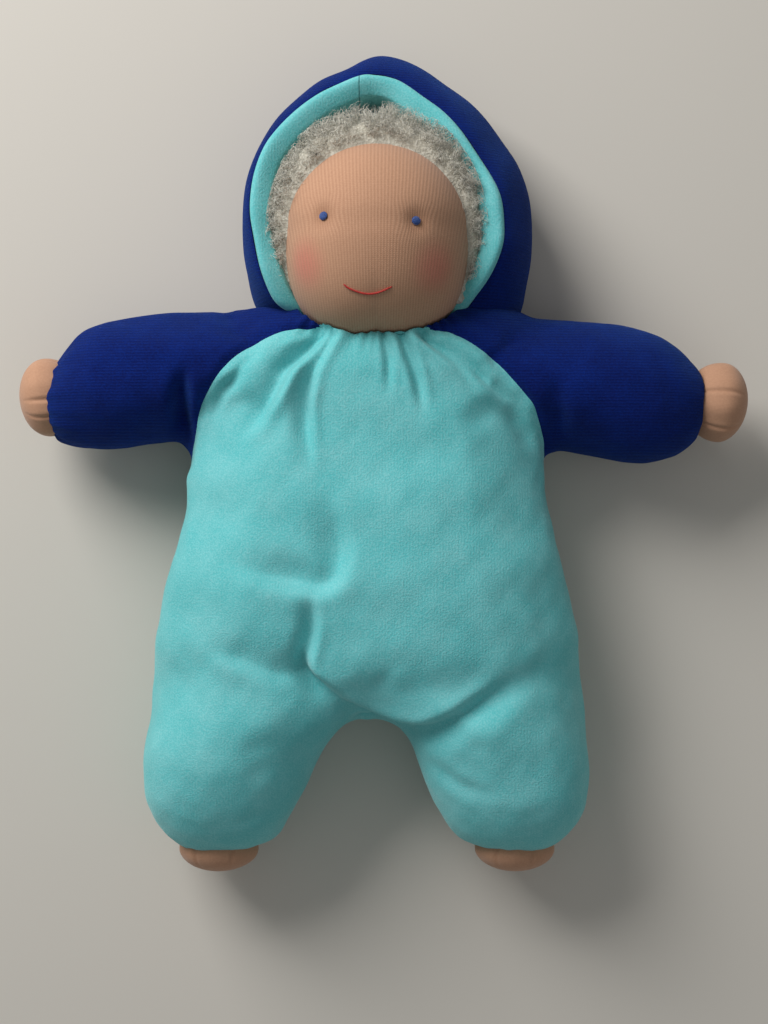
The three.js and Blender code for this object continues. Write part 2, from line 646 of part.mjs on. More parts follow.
const armWool = sleeve(VELOUR + GAP, SLEEVE_LENGTH + END_START - END_NECK_LENGTH - GAP, 0)
  .subtract(roomForBall(origin, SHOULDER_BALL_RADIUS))
  .subtract(headHole(WOOL_MOUTH_RADIUS));
addMesh(armRoot, "arm_stuffing_left", armWool, creamWool);
const hand = new THREE.Group();
hand.position.y = SLEEVE_LENGTH;
addEnd(hand, "hand", "cuff", HAND_RADIUS, HAND_LENGTH, cuffRadius - VELOUR);
armRoot.add(hand);
const arms = new THREE.Group();
addBothSides(arms, new THREE.Group().add(armRoot));

// Leg: trouser leg, wool and foot
const legRoot = new THREE.Group();
const legShape = hipRoom(HIP_RADIUS, 0, 0, 0, far);
const trouser = leg(0, false)
  .subtract(leg(VELOUR, true))
  .intersect(legShape);
addMesh(legRoot, "trouser_leg_left", trouser, mintVelour);
const stuffingEnd = HEM_Y - END_START + END_NECK_LENGTH + GAP;
const legWool = leg(VELOUR + GAP, false).intersect(legShape).intersect(headwardOf(stuffingEnd));
addMesh(legRoot, "leg_stuffing_left", legWool, creamWool);
const foot = new THREE.Group();
foot.position.set(HEM_X, HEM_Y, HEM_Z);
foot.rotation.z = Math.PI;
addEnd(foot, "foot", "hem", FOOT_RADIUS, HEM_TO_SOLE - END_START, HEM_RADIUS - VELOUR);
legRoot.add(foot);
const legs = new THREE.Group();
addBothSides(legs, legRoot);

doll.add(torso, neck, head, hoodGroup, arms, legs);

export default doll;
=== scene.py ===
import json
import math
from functools import partial

import bpy
import numpy as np
from bpy.props import FloatProperty, FloatVectorProperty, IntProperty, PointerProperty
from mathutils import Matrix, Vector


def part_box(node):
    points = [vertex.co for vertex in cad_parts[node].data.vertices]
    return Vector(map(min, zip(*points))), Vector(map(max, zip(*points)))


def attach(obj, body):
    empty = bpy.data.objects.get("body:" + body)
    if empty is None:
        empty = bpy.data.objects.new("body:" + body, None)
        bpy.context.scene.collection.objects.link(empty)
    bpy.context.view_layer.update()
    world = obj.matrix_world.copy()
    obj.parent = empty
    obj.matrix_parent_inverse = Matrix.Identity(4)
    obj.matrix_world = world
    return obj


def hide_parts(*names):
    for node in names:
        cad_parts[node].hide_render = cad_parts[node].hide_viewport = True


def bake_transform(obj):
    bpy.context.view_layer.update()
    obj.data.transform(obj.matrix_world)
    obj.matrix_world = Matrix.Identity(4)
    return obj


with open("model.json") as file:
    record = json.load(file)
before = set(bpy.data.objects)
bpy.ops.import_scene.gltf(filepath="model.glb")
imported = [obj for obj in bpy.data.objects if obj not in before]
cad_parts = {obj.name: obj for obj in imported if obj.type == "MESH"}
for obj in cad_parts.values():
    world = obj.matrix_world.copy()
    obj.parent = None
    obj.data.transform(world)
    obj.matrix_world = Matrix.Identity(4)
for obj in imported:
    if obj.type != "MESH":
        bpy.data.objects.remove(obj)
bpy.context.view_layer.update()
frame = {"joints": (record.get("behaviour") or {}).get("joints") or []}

bl_info = {
    "name": "Cloth doll in a hooded romper",
    "version": (1, 0, 0),
    "blender": (4, 5, 0),
    "location": "View3D > Sidebar > Doll",
    "description": "Sews, stuffs and dresses a cloth doll round its packed frame",
    "category": "Add Mesh",
}

# Sizes are written in millimetres and turned to metres by this factor
MM = 0.001
SIDES = {"left": 1, "right": -1}
joints = {joint["name"]: joint for joint in frame["joints"]}


def place(joint):
    """Where a joint of the frame turns, as a numpy point."""
    return np.array(joints[joint]["pos_m"])


NECK = place("neck_nod")
SHOULDER = place("arm_swing_left")
HIP = place("leg_bend_left")
HEAD_LOW, HEAD_HIGH = [np.array(corner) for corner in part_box("head_skin")]
HEAD_RADIUS = (HEAD_HIGH[0] - HEAD_LOW[0]) / 2
HEAD_CENTRE = np.array([0, HEAD_HIGH[1] - HEAD_RADIUS, HEAD_HIGH[2] - HEAD_RADIUS])
# The jaw is fuller and longer than the upper half of the head
JAW_FULLNESS = 2.6
JAW_SHARE = 1.11

HALF_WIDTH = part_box("trouser_leg_left")[1].x
HEM_BELOW_LEG = 3 * MM
HEM_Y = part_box("trouser_leg_left")[0].y - HEM_BELOW_LEG
HEM_X = 64 * MM
HEM_Z = 25 * MM
TRUNK_ABOVE_NECK = 13 * MM
TRUNK_TOP = NECK[1] + TRUNK_ABOVE_NECK
TRUNK_DEPTH = 76 * MM
HIP_RADIUS = 33.5 * MM
ARM_RADIUS = 28.6 * MM
CUFF_Y = 27.9 * MM
CUFF = np.array([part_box("sleeve_left")[1].x, CUFF_Y, SHOULDER[2]])
# The slack arms lie a little off their places in the frame: across and along the doll
CUFF_SHIFTS = {1: np.array([2.4, -1.4, 0]) * MM, -1: np.array([4.4, 0.7, 0]) * MM}
HOOD_HALF_WIDTH, HOOD_TIP_Y, HOOD_RIM_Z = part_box("hood_outer_left")[1]


def cuff(side):
    """Middle of the cuff on one side."""
    return CUFF * [side, 1, 1] + CUFF_SHIFTS[side]


def head_reach(way):
    """How far the head reaches from its middle, by direction: round above and full in the jaw."""
    way = np.asarray(way, float).reshape(-1, 3)
    low = np.minimum(way[:, 1], 0)
    level = np.sqrt(np.maximum(1 - low**2, 0))
    power = JAW_FULLNESS
    full = (level**power + (-low / JAW_SHARE) ** power) ** (-1 / power)
    side = np.abs(way[:, 0]) / np.maximum(level, 1e-9)
    return HEAD_RADIUS * (1 + (full - 1) * (0.5 + 0.5 * np.minimum(side, 1)))


def on_face(x, y, out=0.0):
    """The point of the face at a place across and up from the head's middle, so far out of the skin."""
    way = np.array([x, y, math.sqrt(HEAD_RADIUS**2 - x**2 - y**2)])
    for _ in range(4):
        reach = head_reach(way / np.linalg.norm(way))[0] + out
        way = np.array([x, y, math.sqrt(reach**2 - x**2 - y**2)])
    return HEAD_CENTRE + way


def linear(hex_colour):
    """Linear red, green and blue of an sRGB hex colour."""
    srgb = [int(hex_colour[i:i + 2], 16) / 255 for i in (1, 3, 5)]
    return tuple(c / 12.92 if c <= 0.04045 else ((c + 0.055) / 1.055) ** 2.4 for c in srgb)


def colour(name, hex_colour, description):
    """A colour that a user can change."""
    limits = {"size": 3, "min": 0, "max": 1, "default": linear(hex_colour)}
    return FloatVectorProperty(name=name, description=description, subtype="COLOR", **limits)


def length(name, default, description):
    """A length that a user can change, in metres."""
    kind = {"subtype": "DISTANCE", "unit": "LENGTH"}
    return FloatProperty(name=name, description=description, default=default, **kind)


class ClothSettings(bpy.types.PropertyGroup):
    """Colours and textures of the doll's cloths and yarns."""

    mint: colour("Mint velour", "#5CBDBF", "Ground of the romper and of the hood's lining")
    mint_nap: colour("Mint nap", "#9CDADB", "Tips of the mint pile, where they catch the light")
    blue: colour("Blue velour", "#06104C", "Ground of the sleeves and the hood")
    blue_nap: colour("Blue nap", "#082C84", "Tips of the blue pile, where they catch the light")
    # The tricot's colours paint the knit's light and shade: peach on the raised wales, and painted shade in
    # the grooves between them
    peach: colour("Peach tricot", "#C99C7E", "Raised wales of the skin")
    peach_groove_shade: colour("Peach tricot, deep", "#96684C", "Grooves between the wales")
    blush: colour("Blush", "#C9605A", "Wax crayon rubbed on the cheeks")
    # The two mohair colours are painted light and painted shade: the pale one for curls in the light, the
    # darker one for curls that lie under others
    mohair: colour("Mohair", "#E4E0D3", "Curls that stand in the light")
    mohair_shaded: colour("Mohair, deep", "#B5AF9F", "Curls that lie under others")
    eye_yarn: colour("Eye yarn", "#36589E", "Stranded cotton of the eyes")
    mouth_yarn: colour("Mouth yarn", "#C22C20", "Stranded cotton of the mouth")
    # Real wales, courses and nap are a little finer: these are as coarse as they need to be to show
    wale: length("Wale spacing", 1.31 * MM, "Width of one column of knit on the skin")
    course: length("Course spacing", 0.85 * MM, "Height of one row of knit on the skin")
    nap_grain: length("Nap grain", 0.7 * MM, "Size of one tuft of the velour's pile")


class StuffingSettings(bpy.types.PropertyGroup):
    """How the stuffed suit is puffed up and creased."""

    voxel: length("Cloth mesh", 3.6 * MM, "Size of the mesh that the cloth simulation runs on")
    pressure: FloatProperty(name="Pressure", description="Pressure of the wool on the cloth", default=3.0)
    slack: length("Slack", 4.2 * MM, "How far inside its full size the cloth starts")
    swell: length("Most swelling", 5 * MM, "Furthest that the stuffing may push the cloth out")
    lump: length("Lumps", 0.7 * MM, "Height of the soft lumps that the wool makes")
    crease: FloatProperty(name="Creases", description="Depth of every crease, as a share", default=1.0)


class HairSettings(bpy.types.PropertyGroup):
    """The mohair wig."""

    locks: IntProperty(name="Locks", description="How many curled locks the wig has", default=1700)
    hairs: IntProperty(name="Hairs in a lock", description="How many hairs curl together", default=9)
    reach: length("Lock length", 6.5 * MM, "Length of a curled lock")
    curl: length("Curl radius", 1.2 * MM, "Radius of a lock's curl")
    thickness: length("Hair thickness", 0.21 * MM, "Thickness of a drawn hair, coarse enough to show")


class StageSettings(bpy.types.PropertyGroup):
    """Floor, light and camera."""

    floor: colour("Floor", "#D2CCC2", "Plain pale floor")
    distance: length("Camera distance", 750 * MM, "From the camera to the middle of the doll")
    scale: length("Size of a pixel", 0.43 * MM, "What one pixel of the 768 by 1024 picture shows")


# Mesh making


def circle(count):
    """Angles of so many even steps round a circle."""
    return np.arange(count) * 2 * np.pi / count


def unit(ways, least=0.0):
    """Directions with a length of one, for a row of them or a single one."""
    return ways / np.maximum(np.linalg.norm(ways, axis=-1, keepdims=True), least)


def ring_round(turn, first, second):
    """Points of a circle with a radius of one in the plane of two directions."""
    return np.cos(turn)[:, None] * first + np.sin(turn)[:, None] * second


def curve(rows, steps):
    """A smooth run through rows of numbers, with so many steps from one row to the next."""
    p = np.array(rows, float)
    p = np.vstack([2 * p[0] - p[1], p, 2 * p[-1] - p[-2]])
    made = []
    for i in range(1, len(p) - 2):
        before, here, there, after = p[i - 1:i + 3]
        for t in np.arange(steps) / steps:
            bend = 2 * before - 5 * here + 4 * there - after
            twist = -before + 3 * here - 3 * there + after
            made.append((2 * here + (there - before) * t + bend * t**2 + twist * t**3) / 2)
    made.append(p[-2])
    return np.array(made)


def grid_faces(rows, columns, closed):
    """Quads over a grid of points, its columns joined round if closed."""
    faces = []
    for r in range(rows - 1):
        for c in range(columns if closed else columns - 1):
            d = (c + 1) % columns
            faces.append((r * columns + c, r * columns + d, (r + 1) * columns + d, (r + 1) * columns + c))
    return faces


# Steps round a bag before it is smoothed, and how much its sides shrink then
BAG_SIDES = 40
SMOOTHED = 3 * MM
LUMP_WAVES = 14


def bag(rings):
    """Points and faces of a closed skin over rings that all have the same count."""
    rows, columns = len(rings), len(rings[0])
    points = np.vstack([*rings, np.mean(rings[0], 0)[None], np.mean(rings[-1], 0)[None]])
    faces = grid_faces(rows, columns, True)
    first, last = rows * columns, rows * columns + 1
    top = (rows - 1) * columns
    for c in range(columns):
        d = (c + 1) % columns
        faces += [(first, d, c), (last, top + c, top + d)]
    return points, faces


def joined(pieces):
    """Points and faces of several meshes as one."""
    points, faces, count = [], [], 0
    for some, quads in pieces:
        points.append(some)
        faces += [tuple(int(v) + count for v in face) for face in quads]
        count += len(some)
    return np.vstack(points), faces


def oval(y, low_x, high_x, low_z, high_z, slack, fullness):
    """A full oval across the doll, drawn in by its slack but for the sides, which smoothing draws in."""
    low_x, high_x, low_z, high_z = low_x - SMOOTHED, high_x + SMOOTHED, low_z + slack / 4, high_z - slack
    angle = circle(BAG_SIDES)
    across = np.sign(np.cos(angle)) * np.abs(np.cos(angle)) ** (2 / fullness)
    up = np.sign(np.sin(angle)) * np.abs(np.sin(angle)) ** (2 / fullness)
    x = (low_x + high_x + (high_x - low_x) * across) / 2
    z = (low_z + high_z + (high_z - low_z) * up) / 2
    return np.stack([x, np.full(BAG_SIDES, y), z], 1)


def mesh_object(name, points, faces):
    """A smooth shaded mesh object, linked to the scene."""
    mesh = bpy.data.meshes.new(name)
    mesh.from_pydata(np.asarray(points).tolist(), [], faces)
    mesh.update()
    mesh.polygons.foreach_set("use_smooth", np.ones(len(mesh.polygons), bool))
    made = bpy.data.objects.new(name, mesh)
    bpy.context.scene.collection.objects.link(made)
    return made


def read(items, field="co"):
    """A place or direction of each of a mesh's points, faces or normals, as a numpy array."""
    flat = np.zeros(len(items) * 3)
    items.foreach_get(field, flat)
    return flat.reshape(-1, 3)


def read_points(mesh):
    """A mesh's points and their normals."""
    return read(mesh.vertices), read(mesh.vertex_normals, "vector")


def write_points(mesh, points):
    """Moves a mesh's points."""
    mesh.vertices.foreach_set("co", np.asarray(points, float).ravel())
    mesh.update()


def applied(made, kind, **settings):
    """Adds a modifier with these settings and applies it."""
    modifier = made.modifiers.new(kind.title(), kind)
    for name, value in settings.items():
        setattr(modifier, name, value)
    graph = bpy.context.evaluated_depsgraph_get()
    mesh = bpy.data.meshes.new_from_object(made.evaluated_get(graph))
    made.modifiers.clear()
    made.data = mesh
    mesh.polygons.foreach_set("use_smooth", np.ones(len(mesh.polygons), bool))
    return made


def step_up(value, start, end):
    """0 before start, 1 after end, smooth between."""
    t = np.clip((value - start) / (end - start), 0, 1)
    return t * t * (3 - 2 * t)


def lumps(points, size, seed):
    """Smooth uneven heights from about -1 to 1, with lumps of that size: the sum of many crossing waves."""
    random = np.random.default_rng(seed)
    total = np.zeros(len(points))
    for _ in range(LUMP_WAVES):
        way = random.normal(size=3)
        way *= 2 * np.pi / (size * random.uniform(1.4, 3.2)) / np.linalg.norm(way)
        total += np.sin(points @ way + random.uniform(0, 2 * np.pi))
    return total / 5


def beside(points, line):
    """For each point seen from the front: signed distance from a line, and the share of the way along it."""
    line = np.asarray(line, float)
    starts, steps = line[:-1], np.diff(line, axis=0)
    lengths = np.linalg.norm(steps, axis=1)
    gone = np.concatenate([[0], np.cumsum(lengths)])
    nearest = np.full(len(points), np.inf)
    side = np.zeros(len(points))
    along = np.zeros(len(points))
    for start, step, size, before in zip(starts, steps, lengths, gone):
        rel = points[:, :2] - start
        t = np.clip(rel @ step / size**2, 0, 1)
        away = rel - t[:, None] * step
        distance = np.linalg.norm(away, axis=1)
        closer = distance < nearest
        nearest[closer] = distance[closer]
        side[closer] = np.sign(step[0] * rel[closer, 1] - step[1] * rel[closer, 0])
        along[closer] = (before + t[closer] * size) / gone[-1]
    return nearest * side, along


# Cotton velour over wool, in the simulation's own units, and how many frames the wool presses
VELOUR_CLOTH = {
    "quality": 4,
    "mass": 0.25,
    "tension_stiffness": 18,
    "compression_stiffness": 12,
    "bending_stiffness": 0.4,
    "use_pressure": True,
}
PRESS_FRAMES = 20


def puff_up(made, settings):
    """Presses the cloth out with its stuffing, for a set number of frames, and caps how far it goes."""
    scene = bpy.context.scene
    rest = read(made.data.vertices)
    cloth = made.modifiers.new("Cloth", "CLOTH").settings
    for name, value in VELOUR_CLOTH.items():
        setattr(cloth, name, value)
    cloth.uniform_pressure_force = settings.pressure
    cloth.effector_weights.gravity = 0
    for count in range(PRESS_FRAMES):
        scene.frame_set(count + 1)
    graph = bpy.context.evaluated_depsgraph_get()
    pressed = read(made.evaluated_get(graph).data.vertices)
    made.modifiers.clear()
    scene.frame_set(1)
    moved = pressed - rest
    far = np.linalg.norm(moved, axis=1, keepdims=True)
    write_points(made.data, rest + moved * np.minimum(1, settings.swell / np.maximum(far, 1e-9)))


def part_of(whole, name, keep, material):
    """A piece made of the faces to keep, with the normals that they have in the whole."""
    points, normals = read_points(whole)
    chosen = [tuple(face.vertices) for face in whole.polygons if keep[face.index]]
    used = np.unique(np.concatenate([np.array(face) for face in chosen]))
    new = np.full(len(points), -1)
    new[used] = np.arange(len(used))
    piece = mesh_object(name, points[used], [tuple(int(new[v]) for v in face) for face in chosen])
    piece.data.normals_split_custom_set_from_vertices(normals[used].tolist())
    piece.data.materials.append(material)
    return piece


# Materials

# Settings of the nodes that set a value into a range, and that mix two colours
SMOOTH = {"interpolation_type": "SMOOTHSTEP"}
COLOURS = {"data_type": "RGBA"}
# Spacing of the rows of knit under the velour's pile
VELOUR_ROW = 1.25 * MM


def add_node(tree, kind, inputs=(), **settings):
    """Adds a node with its settings, sets or links its inputs by place or name, and gives its outputs."""
    made = tree.nodes.new(f"ShaderNode{kind}")
    for name, value in settings.items():
        setattr(made, name, value)
    for key, value in (inputs if isinstance(inputs, dict) else dict(enumerate(inputs))).items():
        socket = made.inputs[key]
        if isinstance(value, bpy.types.NodeSocket):
            tree.links.new(value, socket)
        else:
            socket.default_value = (*tuple(value)[:3], 1) if socket.type == "RGBA" else value
    return made.outputs


def new_material(name, constants):
    """A material, add_node for its tree, and its coordinates in metres."""
    made = bpy.data.materials.new(name)
    made.use_nodes = True
    for key, value in constants.items():
        socket = made.node_tree.nodes["Principled BSDF"].inputs[key]
        socket.default_value = (*value, 1) if socket.type == "RGBA" else value
    node = partial(add_node, made.node_tree)
    return made, node, node("TexCoord")["Object"]


def surfaced(made, shade, height, distance, strength):
    """The material with its colour, and with a relief that is so high at most."""
    tree = made.node_tree
    shader = tree.nodes["Principled BSDF"].inputs
    bump = add_node(tree, "Bump", {"Height": height, "Distance": distance, "Strength": strength})
    tree.links.new(shade, shader["Base Color"])
    tree.links.new(bump["Normal"], shader["Normal"])
    return made


def velour(name, ground, nap, sheen, tint, ribs, rib_share, cloths, seam=None):
    """Cotton velour, knitted and shorn: a short soft pile, pale where it is brushed against the light."""
    pile = {"Sheen Weight": sheen, "Sheen Roughness": 0.45, "Sheen Tint": tint}
    made, node, where = new_material(name, {"Roughness": 0.92, "Specular IOR Level": 0.12, **pile})
    strokes = node("TexNoise", {"Vector": where, "Scale": 1 / (15 * MM), "Detail": 3})["Fac"]
    tufts = node("TexNoise", {"Vector": where, "Scale": 1 / cloths.nap_grain, "Detail": 2})["Fac"]
    brushed = node("MapRange", (strokes, 0.3, 0.75, 0, 0.2), **SMOOTH)[0]
    speckle = node("MapRange", (tufts, 0.38, 0.68, 0, 0.34), **SMOOTH)[0]
    shade = node("Math", (brushed, speckle), operation="ADD")[0]
    # The rows of knit under the pile, drawn a little coarser than real so that they show
    wave = {"Scale": math.pi / (10 * VELOUR_ROW), "Distortion": 3, "Detail": 1.5, "Detail Scale": 25}
    rows = node("TexWave", {"Vector": where, **wave}, bands_direction=ribs)["Fac"]
    shade = node("Math", (rows, rib_share, shade), operation="MULTIPLY_ADD")[0]
    pile = node("Mix", {0: shade, 6: ground, 7: nap}, **COLOURS)[2]
    height = node("Math", (rows, rib_share * 2, tufts), operation="MULTIPLY_ADD")[0]
    if seam:
        across, along, _ = node("SeparateXYZ", (where,))
        off = node("Math", (across, seam[0]), operation="SUBTRACT")[0]
        off = node("Math", (off,), operation="ABSOLUTE")[0]
        near = node("MapRange", (off, 0.4 * MM, 0.1 * MM), **SMOOTH)[0]
        above = node("MapRange", (along, seam[1], seam[1] + MM), **SMOOTH)[0]
        line = node("Math", (near, above), operation="MULTIPLY")[0]
        shadow = node("Math", (line, 0.6), operation="MULTIPLY")[0]
        pile = node("Mix", {0: shadow, 6: pile, 7: [c * 0.15 for c in ground]}, **COLOURS)[2]
        height = node("Math", (height, line), operation="SUBTRACT")[0]
    return surfaced(made, pile, height, 0.5 * MM, 0.55)


def tricot(name, cloths, centre, axis, contrast, eyes=(), blushes=()):
    """Fine cotton tricot, knitted in a tube and drawn over a ball: its wales fan out from the tie."""
    constants = {"Roughness": 0.8, "Specular IOR Level": 0.2, "Sheen Weight": 0.15, "Sheen Roughness": 0.5}
    made, node, where = new_material(name, constants)
    rel = node("VectorMath", (where, centre), operation="SUBTRACT")["Vector"]
    split = node("SeparateXYZ", (rel,))
    along = split[axis]
    wobble = node("TexNoise", {"Vector": where, "Scale": 1 / (14 * MM), "Detail": 1})["Fac"]
    wobble = node("Math", (wobble, 1.6, -0.8), operation="MULTIPLY_ADD")[0]
    if eyes:
        # On the face the wales run straight up, and spread a little towards the crown
        spread = node("Math", (along, 5, 1), operation="MULTIPLY_ADD")[0]
        across = node("Math", (split[0], 2 * math.pi / cloths.wale), operation="MULTIPLY")[0]
        across = node("Math", (across, spread), operation="DIVIDE")[0]
        across = node("Math", (across, wobble), operation="ADD")[0]
    else:
        turn = node("Math", [split[i] for i in range(3) if i != axis], operation="ARCTAN2")[0]
        wales = round(2 * math.pi * HEAD_RADIUS / cloths.wale)
        across = node("Math", (turn, wales, wobble), operation="MULTIPLY_ADD")[0]
    # Each eye's stitches pull the wales towards it and sink the skin; further down, the skin round each eye
    # is painted darker as painted shade
    from_eyes = [node("VectorMath", (where, eye), operation="DISTANCE")["Value"] for eye in eyes]
    for eye, off in zip(eyes, from_eyes):
        pull = node("MapRange", (off, 12 * MM, 1 * MM, 0, 0.9 * math.pi / cloths.wale), **SMOOTH)[0]
        aside = node("Math", (split[0], eye[0] - centre[0]), operation="SUBTRACT")[0]
        across = node("Math", (pull, aside, across), operation="MULTIPLY_ADD")[0]
    # The wales give two thirds of the relief, and the slanting loops of the courses the rest
    column = node("Math", (across,), operation="COSINE")[0]
    column = node("Math", (column, 0.325, 0.5), operation="MULTIPLY_ADD")[0]
    slant = node("Math", (across, 0.5), operation="MULTIPLY")[0]
    slant = node("Math", (slant,), operation="SINE")[0]
    slant = node("Math", (slant,), operation="ABSOLUTE")[0]
    slant = node("Math", (slant, 2.6), operation="MULTIPLY")[0]
    away = node("VectorMath", (rel,), operation="LENGTH")["Value"]
    rise = node("Math", (along, away), operation="DIVIDE")[0]
    rise = node("Math", (rise,), operation="ARCSINE")[0]
    loop = node("Math", (rise, 2 * math.pi * HEAD_RADIUS / cloths.course, slant), operation="MULTIPLY_ADD")[0]
    loop = node("Math", (loop,), operation="COSINE")[0]
    knit = node("Math", (loop, 0.175, column), operation="MULTIPLY_ADD")[0]
    fuzz = node("TexNoise", {"Vector": where, "Scale": 1 / (0.9 * MM), "Detail": 2})["Fac"]
    # Painted shade in the grooves between the wales, and lighter peach on the raised wales
    shade = node("Math", (knit, contrast, 0.7 * (0.75 - contrast)), operation="MULTIPLY_ADD")[0]
    shade = node("Math", (fuzz, 0.4, shade), operation="MULTIPLY_ADD")[0]
    # Painted shade round each eye, where its stitches sink the skin
    for off in from_eyes:
        shadow = node("MapRange", (off, 0.5 * MM, 8 * MM, 0.55, 1), **SMOOTH)[0]
        shade = node("Math", (shade, shadow), operation="MULTIPLY")[0]
    skin = node("Mix", {0: shade, 6: cloths.peach_groove_shade, 7: cloths.peach}, **COLOURS)[2]
    for spot, size in blushes:
        off = node("VectorMath", (where, spot), operation="DISTANCE")["Value"]
        rubbed = node("MapRange", (off, size, size * 0.1, 0, 0.45), **SMOOTH)[0]
        # The crayon takes on the wales and leaves the grooves
        raised = node("Math", (knit, 0.6, 0.55), operation="MULTIPLY_ADD")[0]
        rubbed = node("Math", (rubbed, raised), operation="MULTIPLY")[0]
        skin = node("Mix", {0: rubbed, 6: skin, 7: cloths.blush}, **COLOURS)[2]
    height = node("Math", (fuzz, 0.3, knit), operation="MULTIPLY_ADD")[0]
    return surfaced(made, skin, height, 0.2 * MM, contrast)


def mohair(name, cloths, size, pale, paler):
    """Curly mohair boucle: fluffy, with painted shade between the curls and painted light on them."""
    constants = {"Roughness": 0.8, "Specular IOR Level": 0.2, "Sheen Weight": 0.5, "Sheen Roughness": 0.4}
    made, node, where = new_material(name, constants)
    fluff = node("TexNoise", {"Vector": where, "Scale": 1 / size, "Detail": 3})["Fac"]
    # Noise mixes painted shade and painted light at random; pale and paler set the share of painted light at
    # either end
    shade = node("MapRange", (fluff, 0.25, 0.65, pale, paler), **SMOOTH)[0]
    hair = node("Mix", {0: shade, 6: cloths.mohair_shaded, 7: cloths.mohair}, **COLOURS)[2]
    return surfaced(made, hair, shade, 0.6 * MM, 0.6)


def yarn(name, ground):
    """Stranded embroidery cotton, mercerised: even colour with a low lustre along the strands."""
    constants = {"Roughness": 0.5, "Specular IOR Level": 0.35, "Sheen Weight": 0.2}
    made, node, where = new_material(name, constants)
    strands = node("TexNoise", {"Vector": where, "Scale": 1 / (0.35 * MM), "Detail": 1})["Fac"]
    strands = node("MapRange", (strands, 0.3, 0.7), **SMOOTH)[0]
    cotton = node("Mix", {0: strands, 6: [c * 0.55 for c in ground], 7: ground}, **COLOURS)[2]
    return surfaced(made, cotton, strands, 0.1 * MM, 0.5)


def kept(name, make, *details):
    """A material by name, made the first time that a piece asks for it."""
    return bpy.data.materials.get(name) or make(name, *details)


def mint_velour(name="mint cotton velour", seam=None):
    """The romper's cloth, and with a seam up its middle the hood's lining."""
    cloths = bpy.context.scene.doll_cloths
    return kept(name, velour, cloths.mint, cloths.mint_nap, 0.35, (0.75, 1, 0.98), "X", 0.05, cloths, seam)


def blue_velour():
    """The sleeves' and hood's cloth."""
    cloths = bpy.context.scene.doll_cloths
    tint = (0.1, 0.35, 1)
    return kept("blue cotton velour", velour, cloths.blue, cloths.blue_nap, 0.2, tint, "Y", 0.3, cloths)


# The suit: trunk, legs and arms are stuffed as one, then parted into mint and blue cloth

# Each row: place from the shoulder line to the hip, half width, back and front, all as shares
TRUNK_SHARES = [
    (0, 0.6, 0.2, 0.66),
    (0.03, 0.68, 0.1, 0.77),
    (0.07, 0.73, 0.03, 0.83),
    (0.14, 0.8, 0, 0.86),
    (0.24, 0.825, 0, 0.88),
    (0.38, 0.815, 0, 0.92),
    (0.52, 0.855, 0, 0.97),
    (0.66, 0.925, 0, 1),
    (0.8, 0.97, 0, 0.98),
    (0.9, 0.985, 0, 0.93),
]
# Each row: place from the hip's top to the hem, inner and outer side, back and front, as shares
LEG_SHARES = [
    (0, -0.5, 0.97, 1, 1),
    (0.15, -0.46, 0.98, 1, 1.01),
    (0.23, -0.32, 0.985, 1, 1.02),
    (0.305, -0.12, 0.99, 1, 1.02),
    (0.36, 0.02, 0.995, 1, 1.02),
    (0.4, 0.11, 1, 1, 1.01),
    (0.45, 0.185, 1.005, 1, 1),
    (0.526, 0.245, 1.01, 1, 0.98),
    (0.66, 0.315, 1.01, 1, 0.92),
    (0.77, 0.365, 1, 0.98, 0.82),
    (0.87, 0.41, 0.96, 0.93, 0.66),
    (0.945, 0.45, 0.91, 0.85, 0.47),
    (1, 0.5, 0.82, 0.72, 0.2),
]
# Each row: place from the shoulder to the cuff, and thickness of the arm, as shares
ARM_SHARES = [
    (-0.45, 0.7), (-0.2, 0.95), (0.1, 1.0), (0.3, 1.03), (0.55, 1.03), (0.7, 0.97), (0.84, 0.82),
    (0.94, 0.63), (1, 0.46),
]
# How far each arm bows up the doll by its shoulder, in millimetres, and the shares of the way to the cuff
# from which and up to which the bow fades
ARM_BOWS = {1: (2.6, 0.3, 0.9), -1: (6.4, 0.72, 1.02)}
TRUNK_FULLNESS = 2.4
LEG_FULLNESS = 2.3
ROW_STEPS = 3
# Seams of the blue raglan sleeves seen from the front: across and along the doll, in millimetres
RAGLAN_SEAMS = {
    "right": [
        (-20, 78), (-21.5, 64), (-23.5, 57), (-27.5, 54.8), (-35.2, 55), (-43.7, 53.2), (-51.5, 49.1),
        (-59.3, 43.6), (-66.2, 36.1), (-72.3, 25.7), (-75.8, 17.7), (-79.3, 7), (-82, -3), (-92, -12)],
    "left": [
        (17, 78), (18, 64), (20, 56.5), (24, 54.3), (29, 54.2), (35.5, 51.9), (43.2, 47.2), (50.4, 41.1),
        (56.8, 33.6), (61.8, 27.5), (65.9, 22.5), (69, 15.2), (71.8, 8.2), (73.2, 1), (76, -6), (88, -14)],
}
